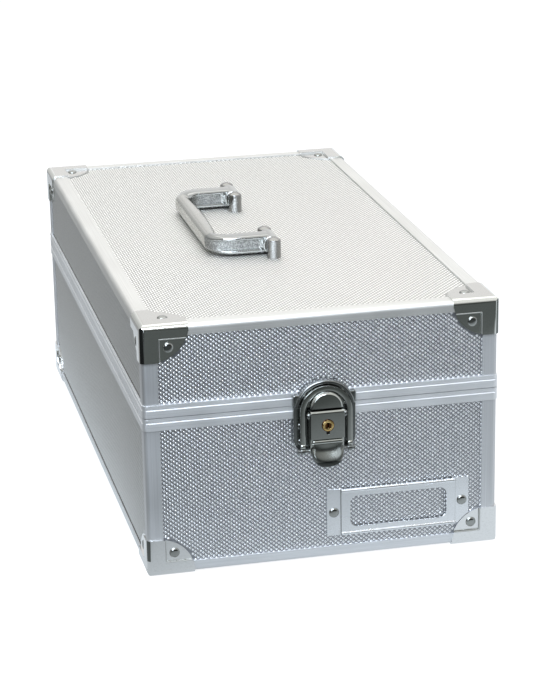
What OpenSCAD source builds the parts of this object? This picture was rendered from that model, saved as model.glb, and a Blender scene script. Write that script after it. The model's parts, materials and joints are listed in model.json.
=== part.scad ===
// Postcard case: a small framed hard case with a hinged lid, a folding handle,
// a draw latch and a label holder.
// Millimetres. +Z is up, the latch faces -Y, and the origin is under the middle of the whole part.

/* [Case] */
// Width over the edge profiles
case_w = 170; // [150:1:200]
// Depth over the edge profiles, front to back
case_d = 315; // [260:1:380]
// Height of the base up to its rim
base_h = 78; // [66:1:100]
// Height of the lid from its rim
lid_h = 44; // [38:1:60]
// Open seam between the two rims
split_gap = 0.3; // [0.2:0.1:0.5]
// Thickness of the faced boards
board_t = 4; // [3:0.5:5]
// Thickness of the lining sheets
lining_t = 1.5; // [1:0.5:2]

/* [Edge profiles] */
// Wall of the angle profiles
frame_t = 1; // [0.9:0.1:1.2]
// Reach of the long profiles down or up the walls
bar_drop = 5.4; // [5:0.1:6.5]
// Reach of the long profiles over the top and under the floor
bar_lap = 8; // [7:0.1:9]
// Reach of the corner posts along the walls
post_leg = 7.4; // [7:0.1:8]
// Outer radius of every framed edge
edge_r = 2.4; // [1.5:0.1:2.6]

/* [Rim profiles] */
// Height of the ribbed band on the outside
rim_h = 6; // [5:0.1:7]
// How far the band stands proud of the other profiles
rim_proud = 0.5; // [0.3:0.1:0.8]
// Wall of the part of the rim that covers the boards' edges
rim_wall = 1.2; // [1:0.1:1.5]
// Depth of the rim's inner leg
rim_inner = 5; // [4:0.5:6]
// Height of the tongue that enters the lid
tongue_h = 3; // [2:0.5:4]
// Radius of the groove along the band
groove_r = 0.6; // [0.4:0.1:0.7]

/* [Corner caps] */
// Wall of the pressed caps
cap_t = 0.8; // [0.7:0.1:1]
// Reach of a cap along the width
cap_leg_x = 22; // [20:0.5:24]
// Reach of a cap along the depth
cap_leg_y = 24; // [20:0.5:26]
// Reach of a cap along the height
cap_leg_z = 17.5; // [17:0.5:20]
// Radius of the round lobes
cap_lobe_r = 17; // [15:0.5:17]
// Rivet's distance from the side face
cap_rivet_x = 12.5; // [12:0.5:13.5]
// Rivet's distance from the front or back face
cap_rivet_y = 13.3; // [12:0.1:14.5]
// Rivet's distance from the top or underside
cap_rivet_z = 10.5; // [10:0.1:11]
// Radius of a cap rivet's head
cap_head_r = 2.1; // [1.8:0.1:2.2]
// Height of a cap rivet's head
cap_head_h = 0.95; // [0.7:0.05:1]
// Radius of every rivet's shank
shank_r = 1.1; // [0.9:0.1:1.2]

/* [Handle] */
// Reach of the folded handle from its pivot
handle_reach = 32; // [29:1:38]
// Distance of each arm's middle from the middle of the handle
arm_y = 47; // [40:1:54]
// Thickness of an arm along the depth
arm_t = 9; // [8:0.5:10]
// Height of the arms when folded
arm_h = 9.4; // [8.5:0.1:9.8]
// Thickness of the grip
grip_t = 7.5; // [6.5:0.5:8.5]
// Swell of the grip towards the palm
grip_swell = 1.5; // [0.8:0.1:2]
// Outer corner radius of the handle
handle_r = 14; // [11:0.5:16]
// Radius of the posts
post_r = 3.5; // [3:0.1:4]
// Height of the posts above the lid's board
post_h = 10.6; // [10:0.1:12]
// Radius of the handle's pivot pins
pivot_r = 1.5; // [1.2:0.1:1.7]
// Depth of the hollow in each side of an arm
web_cut = 2.2; // [1.5:0.1:2.5]

/* [Latch] */
// Outer radius of the hood
hood_r = 15.2; // [14.8:0.1:16]
// How far the hood stands out from the profiles
hood_y = 4.2; // [3.6:0.1:4.4]
// Outer radius of the loop's arch
loop_r = 12.6; // [12.2:0.1:12.8]
// Width of the loop's strip
loop_w = 2.6; // [2.2:0.1:2.8]
// Thickness of the loop's strip
loop_t = 2.2; // [1.8:0.1:2.4]
// Back of the loop from the profiles' face
loop_y = 4; // [3.8:0.1:4.2]
// Drop of the arches' centre below the split
arch_drop = 2.2; // [2:0.1:2.6]
// Front of the boss from the profiles' face
boss_y = 8; // [7.4:0.1:8.4]
// Half width of the latch plate
plate_x = 14.9; // [14.2:0.1:15.5]
// Height of the latch plate
plate_h = 22; // [21.5:0.1:24]
// Front of the latch plate from the profiles' face
plate_y = 2.4; // [2:0.1:2.6]
// Wall of the latch's sheet parts
sheet_t = 1; // [0.8:0.1:1.1]
// Half width of the lever
lever_x = 8.1; // [7.6:0.1:8.2]
// Front of the lever from the profiles' face
lever_y = 9; // [8.8:0.1:9.6]
// Height of the lever's flat face
lever_h = 13.8; // [13:0.1:15]
// Length of the finger tab below the face
tab_h = 14.3; // [13:0.1:16]
// How far the tab flares out
tab_flare = 3; // [2:0.1:3.5]
// Radius of the latch's two pins
latch_pin_r = 0.9; // [0.7:0.05:1]
// Radius of the key plug
plug_r = 2.9; // [2.6:0.1:3]

/* [Label holder] */
// Width of the label holder
label_w = 70; // [64:1:72]
// Height of the label holder
label_h = 23.4; // [21:0.1:26]
// Width of each riveted flange
label_flange = 6.8; // [6.4:0.1:7.5]
// Gap from the label holder to the side of the case
label_side = 13.7; // [12:0.1:16]
// Middle of the label holder above the underside
label_z = 22.4; // [21:0.1:26]
// Width of the window
window_w = 47.6; // [40:0.1:50]
// Height of the window
window_h = 15.4; // [12:0.1:16]

/* [Hinges] */
// Distance of each hinge from the middle
hinge_x = 48; // [36:1:58]
// Width of a hinge
hinge_w = 32; // [28:1:38]
// Height of each leaf
leaf_h = 17; // [15:0.5:20]
// Wall of the leaves
leaf_t = 1.2; // [1:0.1:1.4]
// Radius of the knuckles
knuckle_r = 2.5; // [2.3:0.1:3]
// Radius of the hinge pins
hinge_pin_r = 1.2; // [1:0.1:1.3]

/* [Hidden] */
$fn = 48;

// Clearances
fit = 0.05;         // round running fits and rivet holes, on the radius
seat_gap = 0.05;    // pressed parts on the profiles they sit on
body_gap = 0.3;     // moving parts beside what they pass
over = 1;           // how far a cutter runs past a face

// Levels in the case's own frame, whose zero is the underside of the profiles
total_h = base_h + split_gap + lid_h;
lid_z = base_h + split_gap;
split_z = base_h + split_gap / 2;
front_y = -case_d / 2;
back_y = case_d / 2;
wall_in = frame_t + board_t;
inside_in = wall_in + lining_t;

// Reach of the whole part beyond the profiles, which sets the origin
knuckle_y = rim_proud + seat_gap + knuckle_r;
front_reach = lever_y + tab_flare;
back_reach = knuckle_y + knuckle_r;
y_shift = (front_reach - back_reach) / 2;

// Handle
post_y = arm_y;
boss_side = 2.6;
boss_len = arm_t + 2 * boss_side;
post_off = boss_len / 2 + body_gap + post_r;
panel_top = total_h - frame_t;
handle_lift = 0.7;
pivot_z = panel_top + handle_lift + arm_h / 2;
arm_rim = 2;
web_side = 1;
handle_in_r = handle_r - grip_t;
swell_half = arm_y - arm_t;
swell_r = (swell_half * swell_half + grip_swell * grip_swell) / (2 * grip_swell);
post_dome_r = 4.3;
post_screw_r = 1.5;
post_screw_head_r = 2.8;
post_screw_head_h = 1.3;
post_screw_bite = 6;

// Latch, in a frame whose zero is the split on the profiles' front face, with depth counted outwards
arch_z = -arch_drop;
catch_step = 0.2;
catch_z = split_gap / 2 + catch_step;
core_y = loop_y + 1;
boss_drop = 0.6;
boss_play = 0.45;
boss_r = loop_r - loop_w - arch_drop - catch_z + boss_drop - boss_play;
boss_edge = 0.9;
arch_play = body_gap + fit;
hood_in_r = loop_r + arch_play;
core_r = loop_r - loop_w - arch_play;
plate_top = -0.4;
plate_corner_r = 6;
lever_top = -0.9;
lever_nose = 1.4;
lever_wall = 1.2;
lever_pin_in = [2.7, 2.6];
lever_pin = [lever_y - lever_pin_in[0], lever_top - lever_pin_in[1]];
lever_low = lever_top - lever_h;
tab_low = lever_low - tab_h;
tab_x = lever_x - 0.6;
tab_set_back = 0.9;
tab_root = 0.4;
tab_steps = 10;
pin_drop = 6.6;
loop_pin = [loop_y + loop_t / 2, lever_low - pin_drop];
loop_end_r = 1.9;
ear_t = 0.8;
ear_x = lever_x + 0.2;
ear_wall = 0.5;
ear_rise = 1.8;
ear_foot = 3;
pin_head_r = 1.3;
pin_head_t = 0.45;
plug_z = lever_top - lever_h / 2 - 0.2;
keyway = 1;
key_notch = [1.6, 1.4];
plug_out = 0.5;
plug_back = 4.7;
tongue_t = 0.8;
lock_reach = 5.7;
lock_half = 1.2;
keeper_half = 2;
keeper_t = 0.9;
keeper_lap = 2;
keeper_gap = 0.5;
cheek_back = 1.3;
cheek_waist = 2.2;

// Rivets of the fittings
small_head_r = 1.5;
small_head_h = 0.7;
rivet_len = board_t - 0.5;
catch_rivet_ring = (core_r + hood_in_r) / 2;
catch_rivet_turn = 36;
catch_rivets = [for (s = [-1, 1])
    [s * catch_rivet_ring * cos(catch_rivet_turn), arch_z + catch_rivet_ring * sin(catch_rivet_turn)]];
plate_rivet_side = 3.4;
plate_rivet_high = 0.43;
plate_rivet_low = 0.78;
plate_rivets = [for (s = [-1, 1], share = [plate_rivet_high, plate_rivet_low])
    [s * (plate_x - plate_rivet_side), plate_top - plate_h * share]];
label_x = case_w / 2 - label_side - label_w / 2;
label_rivet_dx = label_w / 2 - label_flange / 2;
label_sheet = 0.8;
label_raise = 0.8;
label_bead_r = 0.9;
window_r = 3.5;
leaf_rivet_spread = 0.36;
leaf_rivet_rise = 0.56;
leaf_rivets = [for (x = [-1, 0, 1])
    [x * hinge_w * leaf_rivet_spread, rim_h + (leaf_h - rim_h) * leaf_rivet_rise]];
leaf_step = 0.9;
knuckle_share = 0.4;

// Plain shapes

module round_rect(w, d, r) {
    square([w - 2 * r, d], center = true);
    square([w, d - 2 * r], center = true);
    for (x = [-1, 1], y = [-1, 1]) translate([x * (w / 2 - r), y * (d / 2 - r)]) circle(r);
}

module block(low, high) {
    translate(low) cube(high - low);
}

// Moves a piece from the case's own frame to the part's frame
module seat() {
    translate([0, y_shift, cap_t]) children();
}

// Stands a child drawn in the split frame on the front face: its depth is counted outwards
module on_front() {
    translate([0, front_y, split_z]) children();
}

// Draws a flat shape of [across, up] as a plate between two depths in front of the front face
module front_plate(depth_low, depth_high) {
    translate([0, -depth_low, 0]) rotate([90, 0, 0]) linear_extrude(depth_high - depth_low) children();
}

// Draws a flat side view of [depth outwards, up] as a bar between two places across the front
module side_plate(x_low, x_high) {
    translate([x_low, 0, 0]) rotate([90, 0, 90]) linear_extrude(x_high - x_low)
        mirror([1, 0]) children();
}

// A round bar across the front at [depth outwards, up]
module cross_pin(at, r, half) {
    translate([-half, -at[0], at[1]]) rotate([0, 90, 0]) cylinder(r = r, h = 2 * half);
}

// Rounded block of the whole case, grown by an even skin
module envelope(grow) {
    r = edge_r + grow;
    w = case_w + 2 * grow;
    d = case_d + 2 * grow;
    h = total_h + 2 * grow;
    intersection() {
        translate([0, 0, -grow]) linear_extrude(h) round_rect(w, d, r);
        translate([0, d / 2, total_h / 2]) rotate([90, 0, 0]) linear_extrude(d) round_rect(w, h, r);
        translate([-w / 2, 0, total_h / 2]) rotate([90, 0, 90]) linear_extrude(w) round_rect(d, h, r);
    }
}

// The block inside the profiles' walls
module inner_block() {
    block([-case_w / 2 + frame_t, front_y + frame_t, frame_t],
        [case_w / 2 - frame_t, back_y - frame_t, total_h - frame_t]);
}

// The framed case as one outer form, with the faces sunk between the profiles
module framed_block(grow) {
    sink = frame_t - grow;
    lap = bar_lap + grow;
    leg = post_leg + grow;
    drop = bar_drop + grow;
    difference() {
        envelope(grow);
        for (s = [-1, 1]) {
            block([s < 0 ? -case_w / 2 - over - grow : case_w / 2 - sink, front_y + leg, drop],
                [s < 0 ? -case_w / 2 + sink : case_w / 2 + over + grow, back_y - leg, total_h - drop]);
            block([-case_w / 2 + leg, s < 0 ? front_y - over - grow : back_y - sink, drop],
                [case_w / 2 - leg, s < 0 ? front_y + sink : back_y + over + grow, total_h - drop]);
            block([-case_w / 2 + lap, front_y + lap, s < 0 ? -over - grow : total_h - sink],
                [case_w / 2 - lap, back_y - lap, s < 0 ? sink : total_h + over + grow]);
        }
    }
}

// Wedge that mitres the profiles of one side: front, back, left or right
module mitre(side) {
    w = case_w / 2 + over;
    d = case_d / 2 + over;
    reach = min(w, d);
    outline = side == "front" ? [[-w, -d], [w, -d], [w - reach, -d + reach], [-w + reach, -d + reach]]
        : side == "back" ? [[w, d], [-w, d], [-w + reach, d - reach], [w - reach, d - reach]]
        : side == "left" ? [[-w, d], [-w, -d], [-w + reach, -d + reach], [-w + reach, d - reach]]
        : [[w, -d], [w, d], [w - reach, d - reach], [w - reach, -d + reach]];
    translate([0, 0, -over]) linear_extrude(total_h + 2 * over) polygon(outline);
}

function long_side(side) = side == "left" || side == "right";

// Rivet with a domed head, standing on the plane z = 0 with its shank below
module rivet(head_r, head_h, shank, length) {
    dome_r = (head_r * head_r + head_h * head_h) / (2 * head_h);
    intersection() {
        translate([0, 0, head_h - dome_r]) sphere(dome_r);
        cylinder(r = head_r, h = head_h);
    }
    translate([0, 0, -length]) cylinder(r = shank, h = length);
}

// Faces of a corner: its rivet's place and turn, for corner signs x, y and up
module on_cap_faces(sx, sy, up) {
    z_in = up > 0 ? total_h - cap_rivet_z : cap_rivet_z;
    z_face = up > 0 ? total_h - frame_t + cap_t : frame_t - cap_t;
    translate([sx * (case_w / 2 - cap_rivet_x), sy * (case_d / 2 - frame_t + cap_t), z_in])
        rotate([-90 * sy, 0, 0]) children();
    translate([sx * (case_w / 2 - frame_t + cap_t), sy * (case_d / 2 - cap_rivet_y), z_in])
        rotate([0, 90 * sx, 0]) children();
    translate([sx * (case_w / 2 - cap_rivet_x), sy * (case_d / 2 - cap_rivet_y), z_face])
        rotate([up > 0 ? 0 : 180, 0, 0]) children();
}

module cap_rivet_set(up) {
    for (sx = [-1, 1], sy = [-1, 1])
        on_cap_faces(sx, sy, up) rivet(cap_head_r, cap_head_h, shank_r, cap_t + rivet_len);
}

module cap_rivet_holes(up) {
    for (sx = [-1, 1], sy = [-1, 1])
        on_cap_faces(sx, sy, up) translate([0, 0, -cap_t - rivet_len - fit])
            cylinder(r = shank_r + fit, h = cap_t + rivet_len + fit + over);
}

// Lobe of a cap on one face, drawn from its corner
module cap_outline(a, b) {
    square([a - cap_lobe_r, b]);
    square([a, b - cap_lobe_r]);
    intersection() {
        translate([a - cap_lobe_r, b - cap_lobe_r]) circle(cap_lobe_r);
        square([a, b]);
    }
}

// Pressed cap for the corner with signs x, y and up
module corner_cap(sx, sy, up) {
    grip = edge_r + 2 * cap_t;
    tip_z = up > 0 ? total_h + cap_t : -cap_t;
    difference() {
        intersection() {
            framed_block(cap_t);
            translate([sx * (case_w / 2 + cap_t), sy * (case_d / 2 + cap_t), tip_z])
                mirror([sx > 0 ? 1 : 0, 0, 0]) mirror([0, sy > 0 ? 1 : 0, 0])
                mirror([0, 0, up > 0 ? 1 : 0]) {
                    linear_extrude(grip) cap_outline(cap_leg_x + cap_t, cap_leg_y + cap_t);
                    translate([0, grip, 0]) rotate([90, 0, 0]) linear_extrude(grip)
                        cap_outline(cap_leg_x + cap_t, cap_leg_z + cap_t);
                    rotate([90, 0, 90]) linear_extrude(grip)
                        cap_outline(cap_leg_y + cap_t, cap_leg_z + cap_t);
                }
        }
        framed_block(seat_gap);
        cap_rivet_holes(up);
    }
}

// Angle profile along one edge of the top or the underside
module edge_bar(side, up) {
    z = up > 0 ? total_h - bar_drop : 0;
    long = long_side(side);
    s = side == "front" || side == "left" ? -1 : 1;
    edge = long ? case_w / 2 : case_d / 2;
    lo = s < 0 ? -edge : edge - bar_lap;
    difference() {
        intersection() {
            envelope(0);
            mitre(side);
            if (long) block([lo, front_y - over, z], [lo + bar_lap, back_y + over, z + bar_drop]);
            else block([-case_w / 2 - over, lo, z], [case_w / 2 + over, lo + bar_lap, z + bar_drop]);
        }
        inner_block();
        cap_rivet_holes(up);
    }
}

// Four corner posts between two levels
module corner_posts(low, high) {
    for (sx = [-1, 1], sy = [-1, 1]) difference() {
        from_x = sx < 0 ? -case_w / 2 : case_w / 2 - post_leg;
        from_y = sy < 0 ? front_y : back_y - post_leg;
        intersection() {
            envelope(0);
            block([from_x, from_y, low], [from_x + post_leg, from_y + post_leg, high]);
        }
        inner_block();
    }
}

// Section of the base's rim: x is counted inwards from the profiles' face and y up from the base's mouth
module base_rim_section() {
    difference() {
        union() {
            translate([-rim_proud, -rim_h]) square([rim_proud + frame_t, rim_h]);
            translate([-rim_proud, -rim_wall]) square([rim_proud + wall_in + rim_wall, rim_wall]);
            translate([wall_in, -rim_inner]) square([rim_wall, rim_inner]);
            translate([wall_in + body_gap, -rim_wall]) square([rim_wall - body_gap, rim_wall + tongue_h]);
        }
        translate([-rim_proud - groove_r / 3, -rim_h / 3]) circle(groove_r);
    }
}

// Section of the lid's rim, its y counted up from the lid's mouth
module lid_rim_section() {
    difference() {
        union() {
            translate([-rim_proud, 0]) square([rim_proud + frame_t, rim_h]);
            translate([-rim_proud, 0]) square([rim_proud + wall_in, rim_wall]);
        }
        translate([-rim_proud - groove_r / 3, rim_h * 2 / 3]) circle(groove_r);
    }
}

// Runs a rim section along one side of the case at a level, with mitred ends
module rim_bar(side, level) {
    long = long_side(side);
    run = (long ? case_d : case_w) + 2 * over;
    turn = side == "front" ? 0 : side == "right" ? 90 : side == "back" ? 180 : 270;
    reach = long ? case_w / 2 : case_d / 2;
    intersection() {
        linear_extrude(total_h)
            round_rect(case_w + 2 * rim_proud, case_d + 2 * rim_proud, edge_r + rim_proud);
        mitre(side);
        rotate([0, 0, turn]) translate([-run / 2, -reach, level]) rotate([90, 0, 90]) linear_extrude(run)
            children();
    }
}

// Boards

module lid_wall_board(side) {
    wall_board(side, lid_z + rim_wall, total_h - wall_in);
}

module base_wall_board(side) {
    wall_board(side, wall_in, base_h - rim_wall);
}

// One wall's board: the front and back boards run the full width, and the side boards fit between them
module wall_board(side, low, high) {
    s = side == "front" || side == "left" ? -1 : 1;
    w = case_w / 2 - frame_t;
    d = case_d / 2 - frame_t;
    if (long_side(side)) block([s < 0 ? -w : w - board_t, -d + board_t, low],
        [s < 0 ? -w + board_t : w, d - board_t, high]);
    else block([-w, s < 0 ? -d : d - board_t, low], [w, s < 0 ? -d + board_t : d, high]);
}

// Floor or top board
module flat_board(low) {
    w = case_w / 2 - frame_t;
    d = case_d / 2 - frame_t;
    block([-w, -d, low], [w, d, low + board_t]);
}

// Lining sheets of a half: one flat sheet and four wall sheets between two levels
module lining(flat_low, wall_low, wall_high) {
    w = case_w / 2 - wall_in;
    d = case_d / 2 - wall_in;
    block([-w, -d, flat_low], [w, d, flat_low + lining_t]);
    for (s = [-1, 1]) {
        block([-w, s < 0 ? -d : d - lining_t, wall_low], [w, s < 0 ? -d + lining_t : d, wall_high]);
        block([s < 0 ? -w : w - lining_t, -d + lining_t, wall_low],
            [s < 0 ? -w + lining_t : w, d - lining_t, wall_high]);
    }
}

// Places of the four handle posts
module at_posts() {
    for (s = [-1, 1], o = [-1, 1]) translate([0, s * post_y + o * post_off, 0]) children();
}

// Hole for a rivet of a fitting on the front, at [across, up] in the split frame
module front_rivet_hole(at) {
    on_front() translate([at[0], frame_t + rivet_len + fit, at[1]]) rotate([90, 0, 0])
        cylinder(r = shank_r + fit, h = frame_t + rivet_len + rim_proud + sheet_t + over);
}

module front_rivet(at, depth) {
    on_front() translate([at[0], -depth, at[1]]) rotate([90, 0, 0])
        rivet(small_head_r, small_head_h, shank_r, depth + frame_t + rivet_len);
}

// Places of the two label rivets in the split frame
label_spots = [for (s = [-1, 1]) [label_x + s * label_rivet_dx, label_z - split_z]];

// Places of one leaf's rivets on the back, for the lid (up = 1) or the base (up = -1)
module at_leaf_rivets(up) {
    for (h = [-1, 1], at = leaf_rivets)
        translate([h * hinge_x + at[0], back_y - frame_t, split_z + up * (split_gap / 2 + at[1])])
            rotate([-90, 0, 0]) children();
}

module leaf_rivet_holes(up) {
    at_leaf_rivets(up) translate([0, 0, -rivet_len - fit])
        cylinder(r = shank_r + fit, h = rivet_len + over + leaf_t + fit);
}

module leaf_rivet_set(up) {
    at_leaf_rivets(up) translate([0, 0, leaf_t])
        rivet(small_head_r, small_head_h, shank_r, leaf_t + rivet_len);
}

// Lid

module lid_top_panel() {
    color("gainsboro") seat() difference() {
        flat_board(total_h - wall_in);
        cap_rivet_holes(1);
        at_posts() translate([0, 0, total_h - wall_in - over])
            cylinder(r = post_screw_r + fit, h = board_t + 2 * over);
    }
}

module lid_front_panel() {
    color("lightslategray") seat() difference() {
        lid_wall_board("front");
        cap_rivet_holes(1);
        for (at = catch_rivets) front_rivet_hole(at);
    }
}

module lid_back_panel() {
    color("lightslategray") seat() difference() {
        lid_wall_board("back");
        cap_rivet_holes(1);
        leaf_rivet_holes(1);
    }
}

module lid_left_panel() {
    color("darkgray") seat() difference() {
        lid_wall_board("left");
        cap_rivet_holes(1);
    }
}

module lid_right_panel() {
    color("darkgray") seat() difference() {
        lid_wall_board("right");
        cap_rivet_holes(1);
    }
}

module lid_top_bar(side) {
    color("lightsteelblue") seat() edge_bar(side, 1);
}

module lid_rim_bar(side) {
    color("lightsteelblue") seat() difference() {
        rim_bar(side, lid_z) lid_rim_section();
        if (side == "front") for (at = catch_rivets) front_rivet_hole(at);
    }
}

module lid_corner_posts() {
    color("lightsteelblue") seat() corner_posts(lid_z + rim_h, total_h - bar_drop);
}

module lid_cap(sx, sy) {
    color("slategray") seat() corner_cap(sx, sy, 1);
}

module lid_cap_rivets() {
    color("silver") seat() cap_rivet_set(1);
}

module lid_lining() {
    color("dimgray") seat() difference() {
        lining(total_h - wall_in - lining_t, lid_z + tongue_h + body_gap, total_h - wall_in - lining_t);
        at_posts() translate([0, 0, total_h - inside_in - over])
            cylinder(r = post_screw_head_r + body_gap, h = lining_t + over + fit);
    }
}

// Base

module base_floor_panel() {
    color("darkgray") seat() difference() {
        flat_board(frame_t);
        cap_rivet_holes(-1);
    }
}

module base_front_panel() {
    color("lightslategray") seat() difference() {
        base_wall_board("front");
        cap_rivet_holes(-1);
        for (at = plate_rivets) front_rivet_hole(at);
        for (at = label_spots) front_rivet_hole(at);
    }
}

module base_back_panel() {
    color("lightslategray") seat() difference() {
        base_wall_board("back");
        cap_rivet_holes(-1);
        leaf_rivet_holes(-1);
    }
}

module base_left_panel() {
    color("darkgray") seat() difference() {
        base_wall_board("left");
        cap_rivet_holes(-1);
    }
}

module base_right_panel() {
    color("darkgray") seat() difference() {
        base_wall_board("right");
        cap_rivet_holes(-1);
    }
}

module base_floor_bar(side) {
    color("lightsteelblue") seat() edge_bar(side, -1);
}

module base_rim_bar(side) {
    color("lightsteelblue") seat() rim_bar(side, base_h) base_rim_section();
}

module base_corner_posts() {
    color("lightsteelblue") seat() corner_posts(bar_drop, base_h - rim_h);
}

module base_cap(sx, sy) {
    color("silver") seat() corner_cap(sx, sy, -1);
}

module base_cap_rivets() {
    color("silver") seat() cap_rivet_set(-1);
}

module base_lining() {
    color("dimgray") seat() lining(wall_in, inside_in, base_h - rim_inner - seat_gap);
}

// Handle

// Plan of the folded bail with round outer corners, open towards its pivot
module open_plan(reach, half, r) {
    translate([-reach + r, -half]) square([reach - r, 2 * half]);
    translate([-reach, -half + r]) square([r + fit, 2 * (half - r)]);
    for (s = [-1, 1]) translate([-reach + r, s * (half - r)]) circle(r);
}

module bail_plan() {
    grip_in = handle_reach - grip_t;
    difference() {
        open_plan(handle_reach, arm_y + arm_t / 2, handle_r);
        translate([over, 0]) open_plan(grip_in + over, arm_y - arm_t / 2, handle_in_r);
    }
    intersection() {
        translate([grip_swell - grip_in - swell_r, 0]) circle(swell_r, $fn = 200);
        translate([-handle_reach + fit, -swell_half])
            square([handle_reach - grip_t + grip_swell, 2 * swell_half]);
    }
}

module handle_bail() {
    web_x = handle_reach - handle_r - arm_h / 2 - web_side;
    color("silver") seat() translate([0, 0, pivot_z]) difference() {
        union() {
            translate([0, 0, -arm_h / 2]) linear_extrude(arm_h) bail_plan();
            for (s = [-1, 1]) translate([0, s * arm_y + boss_len / 2, 0]) rotate([90, 0, 0])
                cylinder(r = arm_h / 2, h = boss_len);
        }
        for (s = [-1, 1]) {
            translate([0, s * arm_y + boss_len, 0]) rotate([90, 0, 0])
                cylinder(r = pivot_r + fit, h = 2 * boss_len);
            for (side_y = [-arm_t / 2 - over, arm_t / 2 - web_cut])
                translate([-arm_h / 2 - web_side - web_x, s * arm_y + side_y, -arm_h / 2 + arm_rim])
                    cube([web_x, web_cut + over, arm_h - 2 * arm_rim]);
        }
    }
}

module handle_posts() {
    color("silver") seat() difference() {
        at_posts() translate([0, 0, panel_top]) intersection() {
            cylinder(r = post_r, h = post_h);
            union() {
                cylinder(r = post_r + over, h = post_h - post_dome_r);
                translate([0, 0, post_h - post_dome_r]) sphere(post_dome_r);
            }
        }
        handle_pin_bars(pivot_r + fit / 2, post_off + post_r / 2 + fit);
        at_posts() translate([0, 0, panel_top - over])
            cylinder(r = post_screw_r + fit, h = post_screw_bite - board_t + over);
    }
}

module handle_pin_bars(r, half) {
    for (s = [-1, 1]) translate([0, s * post_y + half, pivot_z]) rotate([90, 0, 0])
        cylinder(r = r, h = 2 * half);
}

module handle_pivot_pins() {
    color("gray") seat() handle_pin_bars(pivot_r, post_off + post_r / 2);
}

module handle_post_screws() {
    color("gray") seat() at_posts() translate([0, 0, total_h - wall_in - post_screw_head_h]) {
        cylinder(r = post_screw_head_r, h = post_screw_head_h);
        cylinder(r = post_screw_r, h = post_screw_head_h + post_screw_bite - fit);
    }
}

// Latch

module half_disc(r, z, low) {
    intersection() {
        translate([0, z]) circle(r);
        translate([-r, low]) square([2 * r, r + z - low + over]);
    }
}

module latch_catch() {
    rim_top = split_gap / 2 + rim_h + fit;
    color("darkslategray") seat() difference() {
        on_front() difference() {
            union() {
                front_plate(-frame_t, hood_y) difference() {
                    half_disc(hood_r, arch_z, catch_z);
                    half_disc(hood_in_r, arch_z, catch_z - over);
                }
                front_plate(rim_proud + seat_gap, rim_proud + sheet_t)
                    half_disc(hood_r - fit, arch_z, catch_z);
                front_plate(rim_proud + sheet_t - fit, core_y) half_disc(core_r, arch_z, catch_z);
                intersection() {
                    union() {
                        translate([0, -core_y + fit, catch_z - boss_drop]) rotate([90, 0, 0])
                            cylinder(r = boss_r, h = boss_y - core_y - boss_edge + fit);
                        translate([0, -boss_y + boss_edge, catch_z - boss_drop]) rotate([90, 0, 0])
                            cylinder(r1 = boss_r, r2 = boss_r - boss_edge, h = boss_edge);
                    }
                    block([-boss_r - over, -boss_y - over, catch_z],
                        [boss_r + over, 0, catch_z + boss_r + over]);
                }
            }
            block([-hood_r - over, -rim_proud - seat_gap, -over],
                [hood_r + over, frame_t + over, rim_top]);
        }
        for (at = catch_rivets) front_rivet_hole(at);
    }
}

module latch_catch_rivets() {
    color("gray") seat() for (at = catch_rivets) front_rivet(at, rim_proud + sheet_t);
}

module plate_outline(inset) {
    half = plate_x - inset;
    low = plate_top - plate_h + inset;
    r = plate_corner_r - inset;
    translate([-half, low + r]) square([2 * half, plate_top - inset - low - r]);
    translate([-half + r, low]) square([2 * (half - r), r + fit]);
    for (s = [-1, 1]) translate([s * (half - r), low + r]) circle(r);
}

module ear_outline() {
    back = plate_y - sheet_t / 2;
    translate(lever_pin) circle(pin_head_r + ear_wall);
    polygon([[back, lever_pin[1] - ear_foot], [back, lever_pin[1] + ear_rise],
        [lever_pin[0], lever_pin[1] + ear_rise], [lever_pin[0], lever_pin[1] - ear_rise]]);
}

module latch_plate() {
    rim_low = -split_gap / 2 - rim_h - fit;
    lock_low = plug_z - lock_reach;
    keeper_y = plug_back + body_gap;
    color("darkslategray") seat() difference() {
        on_front() difference() {
            union() {
                difference() {
                    front_plate(-frame_t, plate_y) plate_outline(0);
                    front_plate(-frame_t - over, plate_y - sheet_t) plate_outline(sheet_t);
                }
                for (low = [-ear_x - ear_t, ear_x]) side_plate(low, low + ear_t) ear_outline();
                front_plate(plate_y - fit, keeper_y + keeper_t)
                    translate([-keeper_half, lock_low - keeper_gap - keeper_t])
                    square([2 * keeper_half, keeper_t]);
                front_plate(keeper_y, keeper_y + keeper_t)
                    translate([-keeper_half, lock_low - keeper_gap - fit])
                    square([2 * keeper_half, keeper_lap]);
            }
            cross_pin(lever_pin, latch_pin_r + fit / 2, plate_x + over);
            block([-plate_x - over, -rim_proud - seat_gap, rim_low],
                [plate_x + over, frame_t + over, over]);
        }
        for (at = plate_rivets) front_rivet_hole(at);
        for (at = plate_rivets) on_front() translate([at[0], 0, at[1]]) rotate([90, 0, 0])
            cylinder(r = shank_r + fit, h = plate_y + over);
    }
}

module latch_plate_rivets() {
    color("gray") seat() for (at = plate_rivets) front_rivet(at, plate_y);
}

// Side view of the lever's face, with its rounded nose and its top wall
module lever_face_side() {
    translate([lever_y - lever_wall, lever_low]) square([lever_wall, lever_h - lever_nose]);
    translate([lever_y - 2 * lever_wall, lever_low]) square([2 * lever_wall, lever_wall]);
    translate([lever_pin[0] - cheek_back, lever_top - lever_wall])
        square([lever_y - lever_nose - lever_pin[0] + cheek_back, lever_wall]);
    translate([lever_y - lever_nose, lever_top - lever_nose]) circle(lever_nose);
}

// Side view of the finger tab: a sheet that curves outwards
function tab_points(n) = [for (i = [0 : n])
    [lever_y - lever_wall - tab_set_back + (tab_flare + tab_set_back) * pow(i / n, 2),
    lever_low + tab_root - (tab_h + tab_root) * i / n]];

module tab_side() {
    path = tab_points(tab_steps);
    outer = [for (p = path) [p[0] + lever_wall, p[1]]];
    polygon(concat(outer, [for (i = [len(path) - 1 : -1 : 0]) path[i]]));
}

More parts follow.
